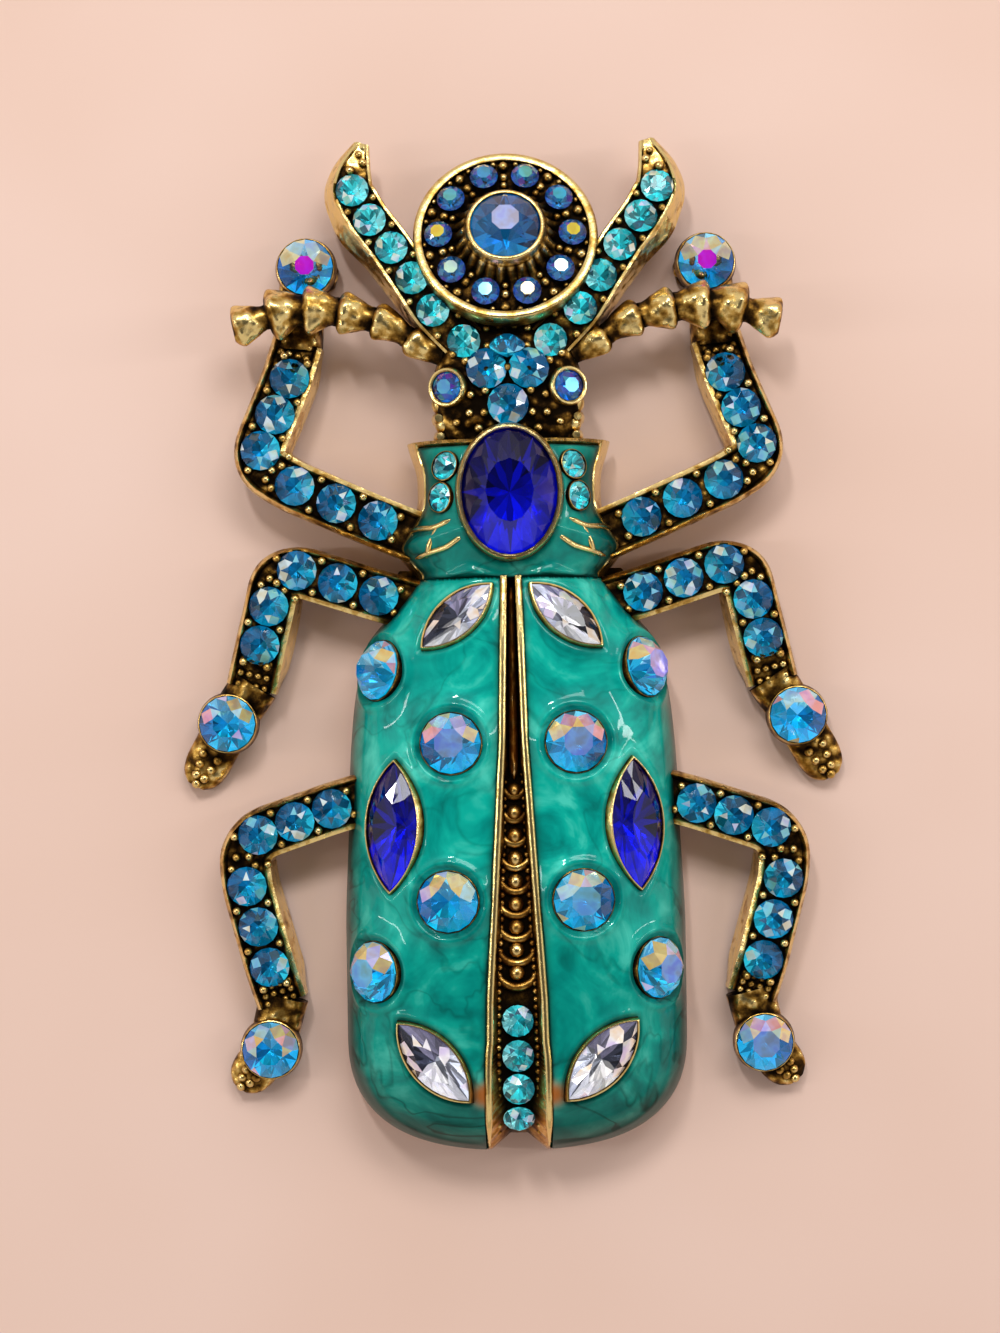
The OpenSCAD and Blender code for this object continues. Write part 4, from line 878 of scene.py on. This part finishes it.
# Share of the length, of the half width and of the height
headRows = np.array([(-.10, .90, .90), (.25, .95, 1), (.45, 1, 1), (.75, .86, 1), (1.02, .55, .85)])

def headParts():
    # skull: the section |x / wide|^4 + |z / high|^4 = 1 along the neck's axis, cut out under its stones
    g = head
    s = np.linspace(-0.1, 1.02, 70)[:, None]
    wide, high = columnAt(headRows, 1, s) * g["half"], columnAt(headRows, 2, s) * g["top"]
    turn = fullTurn(72)
    x = wide * signedPower(np.cos(turn), 0.5)
    z = (high + g["low"]) / 2 + (high - g["low"]) / 2 * signedPower(np.sin(turn), 0.5)
    skull = closedEnds(np.stack([x, g["neck"] + s * g["length"] + 0 * x, z], -1))
    skull = carved(skull, stonesOf("head_stones", "eye_stone", "horn_stones"))
    upper = smoothStep(g["low"] + 3.5, g["top"], skull[..., 2])
    parts = [gridPart(skull, wrapCols=True, finish=np.stack([0.45 + 0.3 * upper, 1.1 + 0 * upper, 0 * upper], -1))]
    # grains as place and radius: between brow stones, round the nape stone, down the neck
    top, brow, nape = g["top"], g["neck"] + 0.585 * g["length"], g["neck"] + 0.285 * g["length"]
    grains = np.array([
        (0, brow + 0.1, top + 0.5, 0.36), (1.75, nape + 1.1, top + 0.35, 0.34), (1.85, nape - 0.6, top + 0.3, 0.34),
        (3.25, brow + 0.6, top + 0.3, 0.34), (1.5, brow + 1.75, top + 0.2, 0.34), (4.2, brow + 1.2, top - 0.3, 0.36),
        (2.9, nape + 0.8, top + 0.15, 0.34), (3.0, nape - 0.6, top + 0.05, 0.34), (2.3, nape - 1.8, top, 0.36),
        (4.0, nape - 1.3, top - 0.4, 0.36), (0.6, brow + 3.4, top - 0.6, 0.3), (1.6, brow + 3.2, top - 0.5, 0.3)])
    cheeks = np.array([(4.9, g["neck"] + 1.3, 5.4, 0.85), (5.05, g["neck"] + 2.9, 5.2, 0.95)])
    grains, cheeks = [np.concatenate([a, b * [-1, 1, 1, 1]]) for a, b in ((grains, grains[1:]), (cheeks, cheeks))]
    parts += [beads(grains[:, :3], grains[:, 3], finish=(0.05, 0.2, 0)),
        beads(cheeks[:, :3], cheeks[:, 3], finish=(-0.2, 0.3, 0), rings=12, around=20)]
    # two upright ribs on each side of the neck, at shares of the head's length, thickest at half height
    z = np.linspace(g["low"] + 0.2, top - 0.6, 14)
    radius = 0.62 * np.sin(np.linspace(0.25, np.pi - 0.25, 14)) ** 0.5
    for place in (0.0, 0.155):
        x = columnAt(headRows, 1, place) * g["half"] - 0.1
        spine = np.stack([x + 0 * z, g["neck"] + place * g["length"] + 0.3 + 0 * z, z], -1)
        rib = tube(spine, xAxis, yAxis, radius, 10, (-0.25, 0.4, 0))
        parts += [rib, mirroredPart(rib)]
    return parts

goldPiece("head", headParts())

# Disc.

disc = {"at": np.array([0, 31.957, 5.7]), "tilt": math.radians(19), "radius": 7.2, "rim": 0.7, "dome": 0.7,
    "flutes": 26, "fluteHigh": 0.3, "fluteWide": 0.12, "around": 208}

def onDisc(radius, turn, height):
    # disc frame: x to the right, y up its face, z out of it, leaning toward +Y by the tilt
    x, y, z = radius * np.cos(turn), radius * np.sin(turn), height + 0 * turn
    a = disc["tilt"]
    return disc["at"] + np.stack([x, y * math.cos(a) + z * math.sin(a), z * math.cos(a) - y * math.sin(a)], -1)

def discParts():
    # a turned profile (radius, height); flutes |cos(13 turn)| lift and widen the skirt round the cup
    g = disc
    edge, inner = g["radius"], g["radius"] - g["rim"]
    face = lambda r: g["dome"] * (1 - r / inner)
    # radius, height, patina, hammering: bottom, rim, channel of the ring, skirt, cup with its lip, seat
    profile = np.array([
        (0, -1.5, .5, .3), (edge - 0.5, -1.5, .5, .3), (edge - 0.12, -1.3, .4, .3), (edge, -1.0, .2, .3),
        (edge, -0.2, .1, .4), (edge, 0.3, .05, .3), (edge - 0.08, 0.45, 0, .1), (edge - 0.2, 0.5, 0, .1),
        (edge - 0.5, 0.5, 0, .1), (edge - 0.64, 0.45, 0, .1), (inner, 0.3, .2, .4), (inner - 0.03, 0.05, .5, .9),
        (inner - 0.3, face(inner - 0.3) - 0.12, .55, 1), (5.4, face(5.4) - 0.15, .55, 1),
        (4.5, face(4.5) - 0.1, .5, .9), (3.95, face(3.95) - 0.02, .45, .6), (3.7, 0.5, .3, .4), (3.5, 0.95, .2, .3),
        (3.32, 1.3, .1, .2), (3.26, 1.42, .5, .2), (3.2, 1.5, .3, .1), (3.12, 1.75, .1, .1), (3.06, 2.05, .05, .1),
        (2.98, 2.18, 0, 0), (2.86, 2.22, 0, 0), (2.74, 2.17, 0, 0), (2.7, 2.05, .3, 0), (2.7, 1.2, .9, 0),
        (2.7, 0.6, 1, 0), (0, -0.35, 1, 0)])
    r, z, dark, hammer = profile.T[:, :, None]
    turn = fullTurn(g["around"])
    skirt = smoothStep(5.0, 3.9, r) * smoothStep(3.15, 3.35, r)
    flute = np.abs(np.cos(turn * g["flutes"] / 2))
    lift = skirt * (flute - 0.5)
    points = carved(onDisc(r + g["fluteWide"] * lift, turn, z + g["fluteHigh"] * lift), stonesOf("disc_ring"))
    finish = np.stack([dark + skirt * 0.35 * (0.6 - flute), hammer + 0 * flute, 0 * lift], -1)
    parts = [gridPart(points, wrapCols=True, finish=finish)]
    # three rows of beads between the ring's stones, and two grains beyond each stone
    places = [s["at"] - g["at"] for s in stonesOf("disc_ring")]
    on = np.sort([math.atan2(p[1] / math.cos(g["tilt"]), p[0]) for p in places])
    mids = on + np.pi / len(on)
    rows = [
        (mids, 6.1, face(6.1) + 0.12, 0.42, 0), (mids, 5.05, face(5.05) + 0.1, 0.38, 0),
        (mids, 4.35, face(4.35) + 0.1, 0.3, 0),
        (on + 0.16, 6.33, 0.2, 0.22, 0.05), (on - 0.16, 6.33, 0.2, 0.22, 0.05)]
    for turn, radius, height, size, dark in rows:
        parts.append(beads(onDisc(radius, turn, height), size, finish=(dark, 0.1, 0)))
    return parts

goldPiece("disc", discParts())
print("head and disc made")

# Antennae.

antenna = {"length": 16.4, "size": 4.0, "x": 5.074, "y": 22.85, "z": 5.25, "drop": 0.3, "flat": 0.8, "parts": 6,
    "end": 0.962, "around": 28}
antennaSizes = np.array([0.62, 0.72, 0.82, 0.94, 1.00, 0.80])
# Share of the length, forward bend as a share of the length
antennaRows = np.array([
    (0, -.01), (.12, .06), (.25, .145), (.40, .195), (.60, .225), (.70, .225), (.82, .20), (1, .145)])
# Each cup: share of its length, radius, patina
antennaCup = np.array([
    (0.0, 0.62, .9), (0.08, 0.6, .7), (0.2, 0.66, .45), (0.34, 0.78, .2), (0.48, 0.88, .05), (0.6, 0.97, -.05),
    (0.7, 1.05, -.1), (0.78, 1.08, -.1), (0.85, 1.04, 0), (0.92, 0.9, .3), (0.97, 0.72, .8)])

def antennaParts():
    # flattened rings round a curve, with four soft lobes: radius (1 - 0.2 (1 - |cos(2 turn)|)) toward a cup's lip
    g = antenna
    rise = lambda s: columnAt(antennaRows, 1, s)
    place, wide, dark = antennaCup.T
    s = np.r_[0, ((np.arange(g["parts"])[:, None] + place) / g["parts"]).ravel(), g["end"]]
    r = np.r_[0, (antennaSizes[:, None] * wide).ravel() * g["size"] / 2, 0]
    line = np.stack([g["x"] + g["length"] * s, g["y"] + g["length"] * rise(s), g["z"] + (1 - s) * g["drop"]], -1)
    e = 0.02
    way = unit(np.stack([2 * e + 0 * s, rise(np.minimum(s + e, 1)) - rise(np.maximum(s - e, 0)), 0 * s], -1))
    side = np.stack([-way[:, 1], way[:, 0], 0 * s], -1)
    turn = fullTurn(g["around"])
    toward = smoothStep(0.2, 0.75, (s * g["parts"]) % 1)[:, None]
    r = (r[:, None] * (1 - 0.2 * toward * (1 - np.abs(np.cos(2 * turn + 0.6)))))[..., None]
    ring = line[:, None] + r * (np.cos(turn)[:, None] * side[:, None] + g["flat"] * np.sin(turn)[:, None] * zAxis)
    dark = np.r_[0.8, np.tile(dark, g["parts"]), 0.4][:, None, None] * 0.8
    return [gridPart(ring, wrapCols=True, finish=0 * ring + dark * xAxis + 0.8 * yAxis)]

goldPair("antenna", antennaParts(), sharp=60)
print("antennae made")

# Gold lines in the thorax enamel.

wires = {"radius": 0.22, "lines": [
    [(-8.75, 8.9), (-7.3, 9.3), (-5.9, 9.25), (-4.5, 9.9)],
    [(-5.6, 9.3), (-6.25, 8.1), (-6.5, 7.0)],
    [(-7.4, 7.0), (-6.0, 7.45), (-4.9, 7.75), (-3.6, 8.7)]]}

def wireParts():
    # rounded wires that lie half sunk in the surface and thin out at both ends
    parts = []
    for line in wires["lines"]:
        x, y = path(line, 0.15, 0.8).T
        spine = np.stack([x, y, backHeight(x, y) + 0.06], -1)
        along = unit(np.gradient(spine, axis=0))
        side = unit(np.cross(along, zAxis))
        radius = wires["radius"] * fade(len(x), 4, 0.25)
        parts.append(tube(spine, side, np.cross(side, along), radius, 8, (-0.4, 0.1, 0.0)))
    return parts + mirrored(parts)

goldPiece("thoraxWires", wireParts(), sharp=60)

# The stones themselves.

# Slot, then foil colours painted as light and shade by the way a facet faces: tail side, outer side, inner side,
# head side, then the middle. Glass tints follow. Coated facets: share of the crown's facets on the head side (painted
# highlights) and elsewhere, the film colours they pick from, and the table's film colours, if it shows any.
palettes = {
    "cobalt": {"slot": "cobalt_glass", "foil": ["#1024d0", "#03062c", "#081490", "#040a48", "#0a18a0"],
        "glass": ["#3a52f8", "#5468ff", "#2c3ee0"], "head": 0.0, "rest": 0.0, "film": ["#2a3cff"], "table": []},
    "clear": {"slot": "clear_glass", "foil": ["#ffffff", "#1e222e", "#b4bac8", "#7a7690", "#2c303e"],
        "glass": ["#ffffff", "#eef2fa", "#f6f6ff"], "head": 0.35, "rest": 0.2, "film": ["#ffffff"], "table": []},
    "peacock": {"slot": "teal_glass", "foil": ["#10b0e0", "#02385a", "#0c86b8", "#045a84", "#0874a4"],
        "glass": ["#a8dcff", "#98e4ff", "#a8ccff"], "head": 0.0, "rest": 0.0, "film": ["#8fa8e8"],
        "table": ["#a9b6ea"]},
    "oilBlue": {"slot": "rainbow_glass", "foil": ["#1d3f8a", "#123a78", "#27509c", "#1a5f8a", "#1d7f96"],
        "glass": ["#ffffff", "#d8e8ff", "#e4dcff"], "head": 0.25, "rest": 0.15,
        "film": ["#2f58b8", "#5a3fa8", "#1f86b0"],
        "table": ["#f4e428", "#2fb8e0", "#5cc4cc", "#3f9ed0", "#5cbcc4", "#f0e040", "#b8dcc0", "#84e2f0", "#e8c87c",
            "#b8d8b8"]},
    "midnight": {"slot": "rainbow_glass", "foil": ["#1d6fb0", "#0e2c60", "#2a86b8", "#1a4a90", "#1c5c98"],
        "glass": ["#ffffff", "#c8d8ff", "#d8ccff"], "head": 0.5, "rest": 0.35,
        "film": ["#2f58b8", "#6a3fb0", "#1f96b8"], "table": ["#c8f0f4", "#58bcd4"]},
    "turquoise": {"slot": "turquoise_glass", "foil": ["#0a90b2", "#03466a", "#32c0d6", "#066a92", "#055e84"],
        "glass": ["#dcf8ff", "#c8f0fa", "#f4ffff"], "head": 0.4, "rest": 0.28,
        "film": ["#e4fcff", "#7fdcf0", "#0a5070"], "table": []},
    "aqua": {"slot": "aqua_glass", "foil": ["#2cb4bc", "#0b5c68", "#9ceef0", "#40c4ca", "#1f949e"],
        "glass": ["#effffd", "#e2fbf8", "#ffffff"], "head": 0.5, "rest": 0.34,
        "film": ["#e8ffff", "#8fe8e8", "#0e5f6a"], "table": []},
    "rainbow": {"slot": "rainbow_glass", "foil": ["#0aa4cc", "#0a5c90", "#2aacd4", "#7cc4dc", "#0a78a8"],
        "glass": ["#ffffff", "#e8f8ff", "#fff8ec"], "head": 0.85, "rest": 0.08,
        "film": ["#f4e2a0", "#f0b4c0", "#e8cc78", "#cfc8f0", "#b8e4ec"],
        "table": ["#8fb4f4", "#b8a8f0", None, None, "#7fccf4"]},
    "magenta": {"slot": "rainbow_glass", "foil": ["#0c9cd4", "#0a5c90", "#38b8e8", "#98d0e8", "#0e78b0"],
        "glass": ["#ffffff", "#ffe0ff", "#fff0e0"], "head": 0.85, "rest": 0.06,
        "film": ["#e4dca8", "#e0b8c4", "#b8dce4"], "table": ["#f020ff"]},
}

def cutStone(s):
    # Chaton or navette cut with n facets a turn, as points and (corners, kind) for each facet. Table corners
    # lie at every step round the outline, crown and back corners half a step on, and girdle corners at every
    # half step. The crown's and the back's heights make the facets that they share flat.
    n, w = stoneKinds[s["kind"]][2], s["width"]
    step = 2 * np.pi / n
    fine = np.arange(2 * n) * step / 2 + (step / 2 if n == 8 else 0)
    whole, halfOn = fine[::2], fine[1::2]
    table, crown, back = cut["table"] * tableShares.get(s["kind"], 1), cut["crownMid"], cut["pavilionMid"]
    high, low, deep = cut["crown"] * w, -cut["girdle"] * w, -cut["pavilion"] * w
    crownHigh = high - high * (crown * np.cos(step / 2) - table) / (1 - table)
    backDeep = deep + (low - deep) * back * np.cos(step / 2)
    layer = lambda angle, share, z: np.c_[outlineAt(s, angle) * share, np.full(len(angle), z)]
    local = np.concatenate([layer(whole, table, high), layer(halfOn, crown, crownHigh), layer(fine, cut["fit"], 0.0),
        layer(fine, cut["fit"], low), layer(halfOn, back, backDeep), [[0, 0, deep]]])
    # rows of corner numbers: table, crown, girdle (even, odd, next even), its lower edge, back, point
    i = np.arange(n)
    j = (i + 1) % n
    girdle = 2 * n + np.stack([2 * i, 2 * i + 1, 2 * j])
    (even, odd, after), (evenLow, oddLow, afterLow) = girdle, girdle + 2 * n
    facets = [("star", i, j, n + i), ("kite", j, n + i, after, n + j), ("upper", n + i, even, odd),
        ("upper", n + i, odd, after), ("girdle", even, evenLow, oddLow, odd), ("girdle", odd, oddLow, afterLow, after),
        ("lower", 6 * n + i, oddLow, evenLow), ("lower", 6 * n + i, afterLow, oddLow),
        ("main", 6 * n + i, 7 * n + 0 * i, 6 * n + j, afterLow)]
    faces = [(face, kind) for kind, *corners in facets for face in np.stack(corners, -1).tolist()]
    return s["at"] + local @ axesOf(s), faces + [(list(range(n)), "table")]

def facetLook(s, kind, away, rng):
    # slot and colour of a facet: 0 bare glass, 1 foil seen through the glass, 2 iridescent film
    look = palettes[stoneKinds[s["kind"]][4]]
    film = look["table"] or [None] if kind == "table" else look["film"]
    # coated facets gathered on the head side stand as painted highlights
    share = look["head"] if away[1] > 0.12 * s["width"] else look["rest"]
    share = {"table": 1.0, "upper": share * 0.6}.get(kind, share)
    pick = film[int(rng.integers(0, len(film)))]
    if kind == "table" and s["node"] == "disc_ring_stones":
        # ten stones, a tenth of a turn apart, each with its own film
        turn = math.atan2(s["at"][1] - disc["at"][1], s["at"][0])
        pick = film[int(turn / math.radians(36) + 10.5) % 10]
    if kind not in ("lower", "main", "girdle"):
        if pick and rng.random() < share:
            return 2, hexColour(pick)
        return 0, hexColour(look["glass"][0 if kind == "table" else int(rng.integers(0, 3))])
    # painted light and shade: the foil colour follows the facet's facing, and a random factor paints sparkle
    foilsLitAndShadedByFacing = np.array([hexColour(c) for c in look["foil"]])
    outer = away[0] * (1 if s["at"][0] >= 0 else -1) > 0
    colour = foilsLitAndShadedByFacing[(0 if away[1] < 0 else 3) if abs(away[1]) > abs(away[0]) else 1 if outer else 2]
    if kind == "main":
        colour = mix(colour, foilsLitAndShadedByFacing[4], 0.55)
    return 1, np.clip(colour * rng.uniform(0.35, 1.6), 0, 1)

def stonePiece(node):
    # all of a node's stones in one mesh of flat facets, with a tint for each corner
    rng = np.random.default_rng(sum(map(ord, node)))
    points, polys, tints, slots, start = [], [], [], [], 0
    for s in [s for s in stones if s["node"] == node]:
        p, faces = cutStone(s)
        for face, kind in faces:
            slot, colour = facetLook(s, kind, p[face].mean(0) - s["at"], rng)
            polys.append([k + start for k in face])
            tints += [tuple(colour[:3])] * len(face)
            slots.append(slot)
        points.append(p)
        start += len(p)
    mesh = newMesh(node, np.concatenate(points), polys, "tint", "CORNER", tints, weld=0, smooth=False)
    for material in (glass, foil, coated):
        mesh.materials.append(material)
    mesh.polygons.foreach_set("material_index", slots)
    place(node + ".cut", mesh, palettes[stoneKinds[kindOf(node)][4]]["slot"], [node])

for node in sorted(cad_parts):
    if kindOf(node):
        stonePiece(node)
print("stones cut")

# The pin keeps its CAD shape.

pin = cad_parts["pin"]
pin.data.materials.clear()
pin.data.materials.append(steel)

# Floor, lights, camera.

studio = {"floorHalf": 0.6, "worldStrength": 0.74, "cameraAt": (-0.94, -1.51, 230.0), "turn": -0.891,
    "lens": 77.65, "sensor": 36.0}

def paleFloor(add, place, own):
    # Matte painted board, a very soft mottling about 20 mm wide.
    cloud = add("TexNoise", {"Vector": place, "Scale": 25.0, "Detail": 2.0})
    ramp = add("ValToRGB", {"Fac": cloud})
    colour = setRamp(ramp, [(0.3, "#e4c4b3"), (0.7, "#eacdbf")])
    return {"Base Color": colour, "Roughness": 0.8}

floorMesh = bpy.data.meshes.new("floor")
half = studio["floorHalf"]
floorMesh.from_pydata([(-half, -half, 0), (half, -half, 0), (half, half, 0), (-half, half, 0)], [], [(0, 1, 2, 3)])
floorMesh.materials.append(newMaterial("matte pale board", paleFloor))
floor = bpy.data.objects.new("floor", floorMesh)
bpy.context.scene.collection.objects.link(floor)

world = bpy.data.worlds.new("studio")
world.use_nodes = True
bpy.context.scene.world = world
sky = addNode(world.node_tree, "TexCoord").outputs["Generated"]
height = addNode(world.node_tree, "SeparateXYZ", {"Vector": sky})
ramp = addNode(world.node_tree, "ValToRGB", {"Fac": height.outputs["Z"]})
# Pale walls all round and a dark ceiling
stops = [(0.0, "#8f8782"), (0.25, "#fff4ee"), (0.65, "#fff4ee"), (0.82, "#a39c98"), (0.95, "#4a4644")]
background = world.node_tree.nodes["Background"]
world.node_tree.links.new(setRamp(ramp, stops), background.inputs["Color"])
background.inputs["Strength"].default_value = studio["worldStrength"]

# Place, aim, width, height, power in watts
lamps = {
    "key": ((-0.08, 0.24, 0.38), (0, 0, 0), 0.03, 0.09, 0.5),
    "softBox": ((0.1, 0.3, 0.4), (0, 0, 0), 0.26, 0.12, 0.8),
    "leftStrip": ((-0.3, 0.0, 0.2), (0, 0, 0), 0.012, 0.3, 0.22),
    "rightStrip": ((0.3, 0.05, 0.2), (0, 0, 0), 0.012, 0.3, 0.22),
}
for name, (at, aim, wide, high, power) in lamps.items():
    lamp = bpy.data.lights.new(name, "AREA")
    lamp.shape, lamp.size, lamp.size_y, lamp.energy = "RECTANGLE", wide, high, power
    lampObject = bpy.data.objects.new(name, lamp)
    bpy.context.scene.collection.objects.link(lampObject)
    lampObject.location = at
    way = np.array(aim) - np.array(at)
    lampObject.rotation_euler = mathutils.Vector(way).to_track_quat("-Z", "Y").to_euler()

camera = bpy.data.objects.new("camera", bpy.data.cameras.new("camera"))
bpy.context.scene.collection.objects.link(camera)
camera.data.sensor_fit, camera.data.sensor_height, camera.data.lens = "VERTICAL", studio["sensor"], studio["lens"]
camera.location = [c * mm for c in studio["cameraAt"]]
camera.rotation_euler = (0, 0, math.radians(studio["turn"]))
bpy.context.scene.camera = camera
bpy.context.scene.view_settings.view_transform = "Standard"

print("finished")
